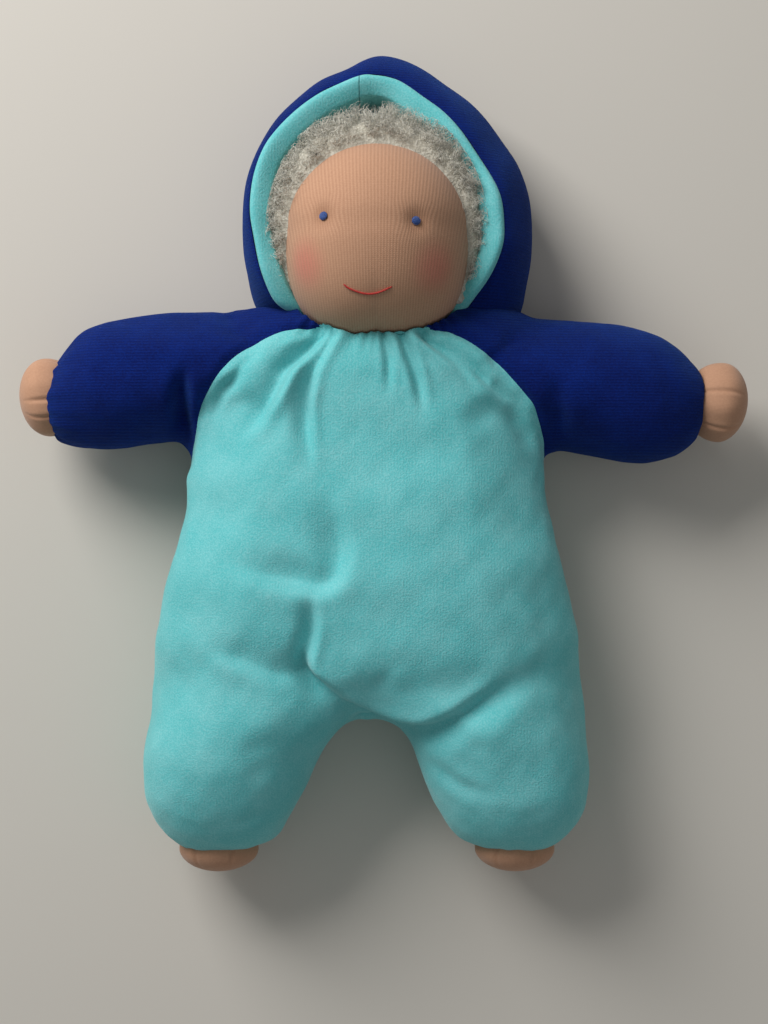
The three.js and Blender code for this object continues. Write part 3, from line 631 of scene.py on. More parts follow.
# Creases of the stuffed cloth seen from the front, in millimetres: depth, widths of the slopes on the
# left and the right of its run, heights of the lips beyond them, and the points that it runs through
CREASES = {
    "neckline fold to the right armpit": (4.4, (3.0, 5.6), (2.2, 0.5), [
        (-23.7, 54), (-29.8, 45.6), (-37.9, 37.9), (-46.4, 24), (-52.1, 15.9), (-61, 8.5)]),
    "neckline fold, right": (3.8, (2.2, 4.2), (1.0, 1.5), [
        (-19, 52), (-23.6, 43.6), (-26.9, 37.4), (-28.3, 31.6), (-29.6, 20), (-27, -8)]),
    "neckline tuck to the right": (2.6, (2.2, 3.4), (1.2, 0.4), [
        (-25, 53), (-32.8, 44.7), (-38, 39.4), (-45, 34)]),
    "neckline tuck, far right": (1.0, (1.8, 2.4), (0.4, 0.3), [(-30, 53.8), (-37, 51.5), (-44.7, 49)]),
    "neckline tuck, middle": (1.6, (1.8, 1.8), (0.5, 0.5), [(2.5, 55), (4.7, 43.9), (5.1, 26)]),
    "neckline fold, left": (3.0, (1.9, 2.0), (1.1, 1.1), [
        (9, 55), (13, 44.6), (15.4, 38.3), (17.7, 29.7), (20, 18)]),
    "neckline fold to the left armpit": (2.6, (3.2, 2.4), (0.5, 1.3), [
        (20, 52), (32.1, 44.7), (40.3, 38.6), (48.9, 31), (57.7, 24.4), (67, 19)]),
    "neckline tuck to the left": (1.8, (2.0, 2.0), (0.8, 0.8), [
        (17.5, 53), (26.8, 45.1), (35.4, 37.5), (43, 27)]),
    "fold along the right seam": (1.7, (2.4, 2.4), (0.6, 0.9), [
        (-56, 39), (-60, 34.5), (-65.6, 28.5), (-72, 17)]),
    "fold under the left seam": (2.0, (4.0, 4.0), (0.6, 0.4), [(54, 25), (58, 19), (63.5, 11), (68, 3)]),
    "sleeve crease, right": (4.6, (2.8, 4.0), (1.2, 1.0), [(-80, 42), (-81.4, 30), (-82.2, 18), (-82.5, 4)]),
    "sleeve dip, left": (2.0, (4.0, 5.0), (0.4, 0.3), [(73.5, 38), (75.5, 26), (77, 14), (79, 4)]),
    "belly dent": (5.2, (8.5, 4.2), (0.0, 0.4), [
        (-66, -39), (-58, -42), (-50, -44.5), (-40, -47.3), (-30, -49.6), (-22, -50.2), (-17.4, -46),
        (-16, -38), (-17.5, -28), (-20.5, -17), (-23, -9)]),
    "groin crease": (6.0, (2.6, 4.4), (0.8, 0.0), [
        (-27, -52), (-27.2, -62), (-27.6, -70), (-28.8, -76.5), (-30.3, -82.4), (-29.8, -88), (-26, -92.8),
        (-19, -98), (-12, -103)]),
    "belly's right edge": (6.0, (2.8, 11.0), (0.5, 0.0), [
        (-33.5, -68), (-33, -76), (-31.4, -84), (-28, -90.3), (-22, -95.8), (-15, -101.4), (-7, -107),
        (2, -111.3), (10, -113.4), (19, -113.5)]),
    "belly's left edge": (5.4, (3.2, 7.5), (0.6, 0.0), [
        (-12, -104), (-5, -108.8), (2, -111.8), (10, -113.6), (19, -113.4), (28, -110), (38, -103.6),
        (47, -98), (56, -92), (64, -87)]),
    "groin dent": (3.4, (4.0, 7.5), (0.0, 0.0), [
        (-24, -84), (-30, -87), (-37.5, -88.6), (-45, -86.5), (-54, -82.5), (-64, -79), (-72, -76)]),
    "left thigh crease": (1.1, (3.6, 3.6), (0.0, 0.1), [
        (18, -121), (25, -128), (33, -134.5), (44, -138), (54, -138)]),
    "left hip dip": (1.5, (6.0, 6.0), (0.4, 0.4), [(42, -99), (60, -92), (80, -84)]),
}
LINE_STEPS = 6
# How far the slack trunk and legs lie to the doll's right, and where along it that starts and is full
TRUNK_MIDDLE = -4.5 * MM
LEAN_FROM, LEAN_TO = -20 * MM, -62 * MM
# Cuffs and hems: height of their pleats and how far these run, width and depth of the hollow for hand or foot
CUFF_PLEAT, CUFF_RUN = 1.15 * MM, 6 * MM
HEM_PLEAT, HEM_RUN = 0.7 * MM, 7 * MM
HAND_HOLLOW, HAND_HOLLOW_DEPTH = 14 * MM, 11 * MM
FOOT_HOLLOW, FOOT_HOLLOW_DEPTH = 15.5 * MM, 10 * MM
PAST_BODY_X = 95 * MM
# Where a sleeve starts to bend, is parted in two pieces and has bent, along its own slanting way
SLEEVE_WAY = (0.8, 0.6)
BEND_FROM, BEND_CUT, BEND_TO = 72 * MM, 88 * MM, 112 * MM


def lean(y):
    """How far the slack doll's trunk and legs lie to its right, by place along it."""
    return TRUNK_MIDDLE * step_up(-y, LEAN_TO, LEAN_FROM)


def trunk_bag(slack):
    """The trunk, from above the neckline to the hips."""
    rings = []
    for along, half, back, front in curve(TRUNK_SHARES, ROW_STEPS):
        y = TRUNK_TOP + (HIP[1] - TRUNK_TOP) * along
        sides = -HALF_WIDTH * half, HALF_WIDTH * half
        less = slack * step_up(along, -0.25, 0.3)
        rings.append(oval(y, *sides, TRUNK_DEPTH * back, TRUNK_DEPTH * front, less, TRUNK_FULLNESS))
    return bag(rings)


def leg_bag(side, slack):
    """One leg, from the hip's top to the hem."""
    top = HIP[1] + HIP_RADIUS
    rings = []
    for along, inner, outer, back, front in curve(LEG_SHARES, ROW_STEPS):
        y = top + (HEM_Y - top) * along
        sides = HALF_WIDTH * inner, HALF_WIDTH * outer
        low_z, high_z = HIP[2] - HIP_RADIUS * back, HIP[2] + HIP_RADIUS * front
        rings.append(oval(y, *sides, low_z, high_z, slack * 0.6, LEG_FULLNESS) * [side, 1, 1])
    return bag(rings)


def arm_bag(side, slack):
    """One arm, from inside the shoulder to the cuff."""
    way = cuff(side) * [side, 1, 1] - SHOULDER
    out = np.array([way[1], -way[0], 0]) / np.linalg.norm(way)
    ring = ring_round(circle(BAG_SIDES), out, [0, 0, 1])
    bow, fade_from, fade_to = ARM_BOWS[side]
    rings = []
    for along, thick in curve(ARM_SHARES, ROW_STEPS):
        middle = SHOULDER + way * along + [0, bow * (1 - step_up(along, fade_from, fade_to)) * MM, 0]
        rings.append((middle + (ARM_RADIUS * thick - slack * 0.1) * ring) * [side, 1, 1])
    return bag(rings)


def stuffed_suit(settings):
    """One smooth closed skin round trunk, legs and arms, puffed up by its stuffing."""
    bags = [trunk_bag(settings.slack)]
    for side in SIDES.values():
        bags += [leg_bag(side, settings.slack), arm_bag(side, settings.slack)]
    whole = mesh_object("suit_whole", *joined(bags))
    applied(whole, "REMESH", mode="VOXEL", voxel_size=settings.voxel)
    applied(whole, "SMOOTH", factor=0.5, iterations=7)
    puff_up(whole, settings)
    applied(whole, "SUBSURF", levels=2)
    return whole


def off_head(points):
    """Direction of each point from the head's middle, and how far it lies outside the head."""
    rel = points - HEAD_CENTRE
    far = np.linalg.norm(rel, axis=1)
    way = rel / np.maximum(far, 1e-9)[:, None]
    return way, far - head_reach(way)


def creased_suit(whole, settings):
    """Creases, gathers and lumps of the stuffed suit, and the hollow that the head rests in."""
    points, normals = read_points(whole.data)
    points[:, 0] += lean(points[:, 1])
    facing = step_up(normals[:, 2], -0.15, 0.3) * step_up(points[:, 2], 14 * MM, 30 * MM)
    rise = lumps(points, 16 * MM, 3) * settings.lump + lumps(points, 6 * MM, 5) * settings.lump * 0.22
    for name, (depth, widths, lips, line) in CREASES.items():
        offset, along = beside(points, curve(np.array(line) * MM, LINE_STEPS))
        # A crease fades at both ends, but one that starts at the neckline only at the other
        starts = 1 if "neckline" in name else step_up(along, 0, 0.38)
        ends = step_up(1 - along, 0, 0.5 if "neckline" in name else 0.38)
        wide = np.where(offset > 0, *widths) * MM
        lip = np.where(offset > 0, *lips)
        ridge = lip * np.exp(-(((np.abs(offset) - 1.8 * wide) / (1.1 * wide)) ** 2))
        profile = ridge - depth * np.exp(-((offset / wide) ** 2))
        rise += profile * MM * starts * ends * facing * settings.crease
    # Small gathers where the cloth is drawn in round the neck
    near_head = off_head(points)[1]
    turn = np.arctan2(points[:, 0], HEAD_CENTRE[1] - points[:, 1])
    fade = np.exp(-np.maximum(near_head - 1 * MM, 0) / (5 * MM))
    frill = np.sin(turn * 58 + 2.4 * np.sin(turn * 11)) * fade
    rise += (0.4 + frill) * 0.75 * MM * facing * step_up(points[:, 1], 40 * MM, 48 * MM)
    moved = points + normals * rise[:, None]
    for side in SIDES.values():
        moved = gathered_hem(gathered_cuff(moved, side), side)
    # The cloth lies clear of the head and flat on the floor
    way, out = off_head(moved)
    moved += way * np.maximum(0.9 * MM - out, 0)[:, None]
    moved[:, 2] = np.maximum(moved[:, 2], 0.25 * MM + np.minimum(moved[:, 2], 0) * 0.03)
    write_points(whole.data, moved)


def gathered_cuff(points, side):
    """The end of a sleeve: drawn in round the wrist with small pleats, and hollow for the hand."""
    start, end = SHOULDER * [side, 1, 1], cuff(side)
    length = np.linalg.norm(end - start)
    way = (end - start) / length
    along = (points - start) @ way
    off = points - start - along[:, None] * way
    out = np.linalg.norm(off, axis=1)
    turn = np.arctan2(off[:, 2], off[:, 1])
    close = np.exp(-np.abs(length - along) / CUFF_RUN) * (points[:, 0] * side > PAST_BODY_X)
    pleat = (np.sin(turn * 7 + 2.6 * np.sin(turn * 2 + side)) + 0.4 * np.sin(turn * 17)) * close * CUFF_PLEAT
    hollow = step_up(-out, -HAND_HOLLOW, -11.5 * MM) * (along > length - 14 * MM) * HAND_HOLLOW_DEPTH
    radial = off / np.maximum(out, 1e-9)[:, None]
    return points + radial * pleat[:, None] - way * hollow[:, None]


def gathered_hem(points, side):
    """The end of a trouser leg, drawn in round the ankle with small pleats, and hollow for the foot."""
    rel = points - [side * HEM_X + TRUNK_MIDDLE, HEM_Y, HEM_Z]
    out = np.hypot(rel[:, 0], rel[:, 2])
    turn = np.arctan2(rel[:, 2], rel[:, 0])
    low = (points[:, 1] < HEM_Y + 30 * MM) * (points[:, 0] * side > 0)
    close = np.exp(-np.abs(rel[:, 1]) / HEM_RUN) * low
    pleat = np.sin(turn * 8 + 1.8 * np.sin(turn * 3 + side)) * close * HEM_PLEAT
    hollow = step_up(-out, -FOOT_HOLLOW, -12.5 * MM) * low * (rel[:, 1] < 10 * MM) * FOOT_HOLLOW_DEPTH
    moved = points + rel * [1, 0, 1] * (pleat / np.maximum(out, 1e-9))[:, None]
    # The hem reaches further down the doll at its corners than in its middle
    corner = np.minimum((rel[:, 0] / (22 * MM)) ** 2, 1.6) * 2.2 * MM - 0.6 * MM
    moved[:, 1] += hollow + corner * np.exp(-np.abs(rel[:, 1]) / (9 * MM)) * low
    return moved


def raglan_distance(points):
    """How far a point lies on the blue side of the nearer raglan seam, seen from the front or the back."""
    lines = [curve(np.array(RAGLAN_SEAMS[name]) * MM, LINE_STEPS) for name in SIDES]
    left, right = [beside(points, line)[0] for line in lines]
    return np.where(points[:, 0] < TRUNK_MIDDLE, -right, left)


def cloth_layer(whole, name, blue_side):
    """A copy of the suit that dips under the other cloth past the raglan seam, with a valley along it."""
    layer = bpy.data.objects.new(name, whole.data.copy())
    points, normals = read_points(whole.data)
    sign = -1 if blue_side else 1
    past = raglan_distance(points) * sign
    clear = step_up(off_head(points)[1], 1 * MM, 6 * MM)
    valley = np.exp(-((past / (2.2 * MM)) ** 2)) * 1.1 * MM
    roll = np.exp(-(((past + 3.4 * MM) / (2.6 * MM)) ** 2)) * (0.25 if blue_side else 0.6) * MM
    dip = np.clip(past * 0.9, 0, 3.2 * MM)
    write_points(layer.data, points + normals * ((roll - valley - dip) * clear)[:, None])
    middles = read(whole.data.polygons, "center")
    overlap = 3.5 * MM * step_up(off_head(middles)[1], 1.5 * MM, 7 * MM)
    return layer, middles, raglan_distance(middles) * sign <= overlap


class DOLL_OT_suit(bpy.types.Operator):
    """Sew and stuff the romper with its raglan sleeves."""

    bl_idname = "doll.suit"
    bl_label = "Romper and sleeves"

    def execute(self, context):
        settings = context.scene.doll_stuffing
        whole = stuffed_suit(settings)
        creased_suit(whole, settings)
        mint, middles, mint_keep = cloth_layer(whole, "mint_layer", False)
        across = middles[:, 0] - lean(middles[:, 1])
        for name, side in SIDES.items():
            half = across >= 0 if side > 0 else across < 0
            piece = part_of(mint.data, f"mint_suit_{name}", mint_keep & half, mint_velour())
            trunk = ["suit_front_panel", "suit_back_panel", "trunk_stuffing", "neckline_thread"]
            limb = [f"{part}_{name}" for part in ("trouser_leg", "leg_stuffing", "hem_thread", "foot_tie")]
            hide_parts(*(trunk if side > 0 else []), *limb)
            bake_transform(piece)
        blue, middles, blue_keep = cloth_layer(whole, "blue_layer", True)
        for name, side in SIDES.items():
            way = np.array([*SLEEVE_WAY, 0]) * [side, 1, 1]
            toward = middles @ way
            for part, inside in (("top", toward < BEND_CUT), ("arm", toward >= BEND_CUT)):
                keep = blue_keep & inside & (middles[:, 0] * side > 0)
                piece = part_of(blue.data, f"blue_sleeve_{part}_{name}", keep, blue_velour())
                if part == "top":
                    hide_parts(f"raglan_shoulder_{name}", f"shoulder_stuffing_{name}")
                    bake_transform(piece)
                else:
                    stands_for = ("sleeve", "arm_stuffing", "cuff_thread", "hand_tie")
                    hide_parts(*[f"{node}_{name}" for node in stands_for])
                    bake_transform(piece)
        bpy.data.objects.remove(whole)
        return {"FINISHED"}


# Hands and feet

# Half length and radius of each ball, radius of its tied neck, and how far its middle lies out of the cuff
# or inside the hem
HAND_RADII, HAND_NECK = (11.6 * MM, 17 * MM), 10 * MM
HAND_OUT = {"left": 1.6 * MM, "right": 2.7 * MM}
FOOT_RADII, FOOT_NECK = (9.8 * MM, 17.3 * MM), 10.5 * MM
FOOT_IN = 1 * MM
FOOT_X = 64.5 * MM
# Creases of each ball, as degrees round it
HAND_CREASES = {"left": (-13, 45, 160, -100), "right": (-7, -33, 70, 150)}
FOOT_CREASES = (-24, 31, 170)
TO_FEET, TO_CROWN, FRONT = (0, -1, 0), (0, 1, 0), (0, 0, 1)


def knit_end(name, centre, axis, radii, neck, creases):
    """A stuffed ball of tricot drawn together at a limb's end, with creases that run out from its tie."""
    rows, columns = 56, 160
    rings = []
    way = np.array(axis, float)
    turn = circle(columns)
    ring = ring_round(turn, FRONT, np.cross(way, FRONT)) * radii[1]
    for share in (np.arange(rows) + 0.5) / rows:
        along, out = math.sin(math.pi * (share - 0.5)), math.cos(math.pi * (share - 0.5))
        folds = 0.012 * np.sin(9 * turn + creases[0]) + 0.01 * np.sin(4 * turn + creases[1])
        for angle in creases:
            off = (turn - math.radians(angle) + np.pi) % (2 * np.pi) - np.pi
            folds = folds - 0.055 * np.exp(-((off / 0.055) ** 2)) + 0.02 * np.exp(-((off / 0.16) ** 2))
        size = out * (1 + folds * step_up(-share, -0.86, -0.5))
        # The half inside the cuff narrows to the neck that is tied, and is longer than the other
        if along < 0:
            size = np.maximum(size, neck / radii[1] * (1 + folds))
            along = along * 1.35
        rings.append(centre + way * along * radii[0] + size[:, None] * ring)
    return mesh_object(name, *bag(rings))


class DOLL_OT_hands_and_feet(bpy.types.Operator):
    """Make the tricot hands and feet that peep out of cuffs and hems."""

    bl_idname = "doll.hands_and_feet"
    bl_label = "Hands and feet"

    def execute(self, context):
        cloths = context.scene.doll_cloths
        way = unit(CUFF - SHOULDER)
        for name, side in SIDES.items():
            hand_way = way * [side, 1, 1]
            hand_centre = cuff(side) + hand_way * HAND_OUT[name]
            foot_centre = np.array([side * FOOT_X + TRUNK_MIDDLE, HEM_Y + FOOT_IN, HEM_Z])
            hand = "hand", hand_centre, hand_way, HAND_RADII, HAND_NECK, f"arm_{name}", 0, HAND_CREASES[name]
            foot = "foot", foot_centre, TO_FEET, FOOT_RADII, FOOT_NECK, f"leg_{name}", 1, FOOT_CREASES
            for kind, centre, axis, radii, neck, body, knit_axis, creases in (hand, foot):
                piece = knit_end(f"tricot_{kind}_{name}", centre, axis, radii, neck, creases)
                label = f"peach cotton tricot, {name} {kind}"
                piece.data.materials.append(tricot(label, cloths, tuple(centre), knit_axis, 0.25))
                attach(piece, body)
                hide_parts(f"{kind}_skin_{name}", f"{kind}_stuffing_{name}")
        return {"FINISHED"}


# Head

# Places on the face, across and up from the head's middle: the eyes, and the mouth from right to left
EYES = {"left": (16.5 * MM, 1.3 * MM), "right": (-22.3 * MM, 3.9 * MM)}
MOUTH = [(-13.6, -23.9), (-10.8, -25.9), (-5.0, -27.8), (0.4, -27.5), (6.7, -25.0)]
CHEEKS = [(-29.5 * MM, -15 * MM), (24 * MM, -17 * MM)]
BLUSH_SIZE = 14.5 * MM
# The thread at eye height sinks the skin by so much, and each eye's stitches by more
EYE_LINE_DEPTH = 0.45 * MM
EYE_DEPTH, EYE_DIMPLE = 1.3 * MM, 5 * MM
EYE_RADIUS = 1.9 * MM
EYE_THREAD, MOUTH_THREAD = 0.27 * MM, 0.3 * MM
THREAD_SIDES = 6


def globe(up, out, turn, first, second, pole):
    """Directions all over a ball, ring by ring: how far each ring lies up its pole and out from it."""
    return out[:, None, None] * ring_round(turn, first, second) + up[:, None, None] * np.array(pole)


class DOLL_OT_head(bpy.types.Operator):
    """Draw the tricot over the wound head, tie in the eyes and rub on the cheeks."""

    bl_idname = "doll.head"
    bl_label = "Head"

    def execute(self, context):
        cloths = context.scene.doll_cloths
        rows, columns = 120, 200
        latitude = np.pi * (np.arange(rows) + 1) / (rows + 1) - np.pi / 2
        way = globe(np.sin(latitude), np.cos(latitude), circle(columns), FRONT, (1, 0, 0), TO_CROWN)
        eyes = [on_face(*EYES[name]) for name in SIDES]
        flat = way.reshape(-1, 3)
        rise = lumps(flat * HEAD_RADIUS, 17 * MM, 11) * 0.25 * MM
        line = (eyes[0][1] - HEAD_CENTRE[1]) / HEAD_RADIUS
        rise -= np.exp(-(((flat[:, 1] - line) / 0.12) ** 2)) * EYE_LINE_DEPTH
        for eye in eyes:
            off = np.linalg.norm(flat - unit(eye - HEAD_CENTRE), axis=1) * HEAD_RADIUS
            rise -= np.exp(-((off / EYE_DIMPLE) ** 2)) * EYE_DEPTH
        points = HEAD_CENTRE + flat * (head_reach(flat) - 0.2 * MM + rise)[:, None]
        piece = mesh_object("tricot_head", *bag(list(points.reshape(way.shape))))
        cheeks = [(tuple(on_face(*cheek)), BLUSH_SIZE) for cheek in CHEEKS]
        label = "peach cotton tricot, head"
        middle, seen = tuple(HEAD_CENTRE), [tuple(eye) for eye in eyes]
        piece.data.materials.append(tricot(label, cloths, middle, 1, 0.4, seen, cheeks))
        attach(piece, "head")
        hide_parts("head_skin", "head_gauze_tube", "head_wool_ball", "eye_line_thread")
        neck = knit_end("tricot_neck", NECK + [0, 4 * MM, 0], TO_CROWN, (14 * MM, 12 * MM), 9 * MM, (40, 200))
        neck.data.materials.append(piece.data.materials[0])
        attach(neck, "neck")
        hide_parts("neck_stuffing")
        return {"FINISHED"}


def thread(path, radius):
    """Points and faces of a thread along a path, thinner at its ends."""
    path = np.array(path)
    steps = unit(np.gradient(path, axis=0))
    first = unit(np.cross(steps, [0.1, 0.2, 1.0]))
    second = np.cross(steps, first)
    share = np.linspace(-1, 1, len(path))
    size = radius * np.sqrt(np.clip(1 - share**6, 0.05, 1))
    turn = circle(THREAD_SIDES)
    return bag([path[i] + size[i] * ring_round(turn, first[i], second[i]) for i in range(len(path))])


def eye_stitches(centre):
    """Eight stitches up and down, side by side, that make a round and slightly raised dot."""
    out = unit(centre - HEAD_CENTRE)
    up = unit(np.cross(out, [1.0, 0, 0]))
    across = np.cross(up, out)
    base = HEAD_CENTRE + out * (HEAD_RADIUS - 1.7 * MM)
    stitches = []
    for offset in np.linspace(-0.86, 0.86, 8):
        half = math.sqrt(1 - offset**2) * EYE_RADIUS
        path = []
        for s in np.linspace(-1, 1, 11):
            dome = math.sqrt(max(0, 1 - offset**2 * 0.8 - (s * half / EYE_RADIUS) ** 2 * 0.9))
            path.append(base + across * offset * EYE_RADIUS + up * s * half + out * (dome * 0.9 * MM))
        stitches.append(thread(path, EYE_THREAD))
    return joined(stitches)


def mouth_stitches():
    """Three strands twisted along the mouth, whose ends go into the skin."""
    places = curve(MOUTH, 8) * MM
    shares = np.linspace(-1, 1, len(places))
    path = [on_face(x, y, (0.2 - 0.8 * abs(share) ** 12) * MM) for (x, y), share in zip(places, shares)]
    strands = []
    for phase in (0, 2.1, 4.2):
        turn = np.linspace(0, 2 * np.pi * 7, len(path)) + phase
        off = ring_round(turn, TO_CROWN, FRONT) * 0.22 * MM
        strands.append(thread(np.array(path) + off, MOUTH_THREAD))
    return joined(strands)


class DOLL_OT_face(bpy.types.Operator):
    """Embroider the eyes and the mouth."""

    bl_idname = "doll.face"
    bl_label = "Embroidered face"

    def execute(self, context):
        cloths = context.scene.doll_cloths
        yarns = {"blue": cloths.eye_yarn, "red": cloths.mouth_yarn}
        sewn = []
        for name in SIDES:
            sewn.append((f"eye_stitches_{name}", eye_stitches(on_face(*EYES[name])), "blue", f"eye_{name}"))
        sewn.append(("mouth_stitches", mouth_stitches(), "red", "mouth_stitch"))
        for name, stitches, hue, node in sewn:
            piece = mesh_object(name, *stitches)
            piece.data.materials.append(kept(f"{hue} stranded cotton", yarn, yarns[hue]))
            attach(piece, "head")
            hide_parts(node)
        return {"FINISHED"}


# Wig

WIG_LOW_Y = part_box("wig")[0].y
# Slope of the hairline's plane, and how far the line lies in front of the head's middle, as angles
HAIRLINE_SLOPE = -0.19
HAIRLINE_ANGLE = 0.15
# The room inside the hood that the hair keeps to: half its width, how far it goes above and below the
# head's middle, and its floor
HAIR_ROOM_X, HAIR_ROOM_UP, HAIR_ROOM_DOWN = 46.5 * MM, 56 * MM, 40 * MM
HAIR_ROOM_Z = 4.5 * MM


def hair_front(way):
    """How far a direction from the head's middle lies behind the hairline, as an angle."""
    plane = unit(np.array([0, HAIRLINE_SLOPE, 1.0]))
    line = math.pi / 2 + HAIRLINE_ANGLE + 0.13 * way[:, 0] ** 2
    return line - np.arccos(np.clip(-(way @ plane), -1, 1))


def wig_height(way):
    """Thickness of the hair over the head, by direction."""
    behind = hair_front(way)
    full = 8.2 * MM + 7 * MM * step_up(way[:, 1], -0.2, 0.9) - 3.4 * MM * step_up(-way[:, 2], 0.2, 0.95)
    edge = np.clip(1 - behind / 0.32, 0, 1)
    return full * np.sqrt(1 - edge**2) * (behind > 0)


def curled_locks(hair):
    """Points and faces of all hairs, each a thin curled thread of three sides, locked together in tufts."""
    random = np.random.default_rng(17)
    way = unit(random.normal(size=(hair.locks * 12, 3)))
    behind = hair_front(way)
    chance = np.where(behind < 0.35, 1.0, np.where(behind < 0.75, 0.6, 0.13))
    shown = (behind > 0.015) & (random.random(len(way)) < chance)
    shown &= HEAD_CENTRE[1] + way[:, 1] * HEAD_RADIUS > WIG_LOW_Y + 9 * MM
    way = way[shown][:hair.locks]
    # Locks by the hairline lean to the front and to the side
    front = step_up(-hair_front(way), -0.5, -0.05)[:, None]
    root = way * (head_reach(way) + wig_height(way) * random.uniform(0.3, 0.75, len(way)))[:, None]
    aside = unit(way * [1, 1, 0], 1e-6) * random.uniform(-0.7, 1, (len(way), 1)) * front
    run = unit(way + aside + np.array([0, 0, 0.55]) * front + random.normal(size=way.shape) * 0.55)
    reach = hair.reach * random.uniform(0.65, 1.15, (len(way), 1)) * (1 - 0.35 * (front > 0.9))
    turns = random.uniform(0.7, 1.5, (len(way), 1)) * random.choice([-1, 1], (len(way), 1))
    phase = random.uniform(0, 2 * np.pi, (len(way), 1))
    # Each lock's hairs start and run a little apart
    each = [np.repeat(value, hair.hairs, axis=0) for value in (way, root, run, reach, turns, phase)]
    way, root, run, reach, turns, phase = each
    count, steps, sides = len(way), 7, 3
    root = root + random.normal(size=(count, 3)) * 0.8 * MM
    run = run + random.normal(size=(count, 3)) * 0.22
    phase = phase + random.normal(size=(count, 1)) * 0.5
    first = unit(np.cross(run, random.normal(size=(count, 3)) * 0.4 + [0.3, 0.5, 0.8]))
    second = np.cross(run, first)
    share = np.linspace(0, 1, steps)[None, :]
    angle = phase + share * turns * 2 * np.pi
    wide = hair.curl * random.uniform(0.5, 1.3, (count, 1)) * share**0.7
    middle = root[:, None] + run[:, None] * (share * reach)[..., None]
    middle = middle + first[:, None] * (np.cos(angle) * wide)[..., None]
    middle = middle + second[:, None] * (np.sin(angle) * wide)[..., None]
    middle = in_hood(middle)
    ahead = np.gradient(middle, axis=1)
    one = unit(np.cross(ahead, way[:, None]), 1e-9)
    two = unit(np.cross(ahead, one), 1e-9)
    size = hair.thickness / 2 * (1 - 0.6 * share[0] ** 3)
    ring = ring_round(circle(sides), one[:, :, None], two[:, :, None])
    points = middle[:, :, None] + size[None, :, None, None] * ring
    hair_faces = [(2, 1, 0), *grid_faces(steps, sides, True)]
    hair_faces.append(tuple((steps - 1) * sides + c for c in range(sides)))
    bases = range(0, count * steps * sides, steps * sides)
    return points.reshape(-1, 3), [tuple(v + base for v in face) for base in bases for face in hair_faces]


def in_hood(middle):
    """Hairs, given as places about the head's middle, laid on the head and kept to the hood's room."""
    far = np.linalg.norm(middle, axis=2, keepdims=True)
    floor = head_reach(middle / far).reshape(far.shape) + 0.4 * MM
    middle = HEAD_CENTRE + middle / far * np.maximum(far, floor)
    offset = middle[..., :2] - HEAD_CENTRE[:2]
    tall = np.where(offset[..., 1] > 0, HAIR_ROOM_UP, HAIR_ROOM_DOWN)
    over = np.hypot(offset[..., 0] / HAIR_ROOM_X, offset[..., 1] / tall)
    middle[..., :2] -= offset * (1 - 1 / np.maximum(over, 1))[..., None]
    middle[..., 2] = np.maximum(middle[..., 2], HAIR_ROOM_Z)
    return middle


class DOLL_OT_wig(bpy.types.Operator):
    """Sew on the curly mohair wig, lock by lock."""

    bl_idname = "doll.wig"
    bl_label = "Mohair wig"

    def execute(self, context):
        hair = context.scene.doll_hair
        cloths = context.scene.doll_cloths
        rows, columns = 90, 160
        polar = np.linspace(0.02, 0.72 * np.pi, rows)
        grid = globe(-np.cos(polar), np.sin(polar), circle(columns), (1, 0, 0), TO_CROWN, FRONT)
        way = grid.reshape(-1, 3)
        height = wig_height(way)
        bumps = lumps(way * HEAD_RADIUS, 4.2 * MM, 21) * 1.1 * MM * step_up(height, 0, 3 * MM)
        # In front of the hairline the cap goes into the head
        far = head_reach(way) + 0.2 * MM + height * 0.62 + bumps - (height <= 0) * 1.4 * MM
        points = HEAD_CENTRE + way * far[:, None]
        points[:, 1] = np.maximum(points[:, 1], WIG_LOW_Y)
        cap = mesh_object("mohair_cap", *bag(list(points.reshape(grid.shape))))
        # The cap is painted darker, as painted shade under the curls
        cap.data.materials.append(mohair("mohair boucle", cloths, 1.1 * MM, -0.7, 0.4))
        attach(cap, "head")
        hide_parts("wig")
        curls = mesh_object("mohair_curls", *curled_locks(hair))
        # The curls are painted paler, as painted light on the curls that stand out
        curls.data.materials.append(mohair("mohair curls", cloths, 2 * MM, 0.35, 1.0))
        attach(curls, "head")
        return {"FINISHED"}


# Hood

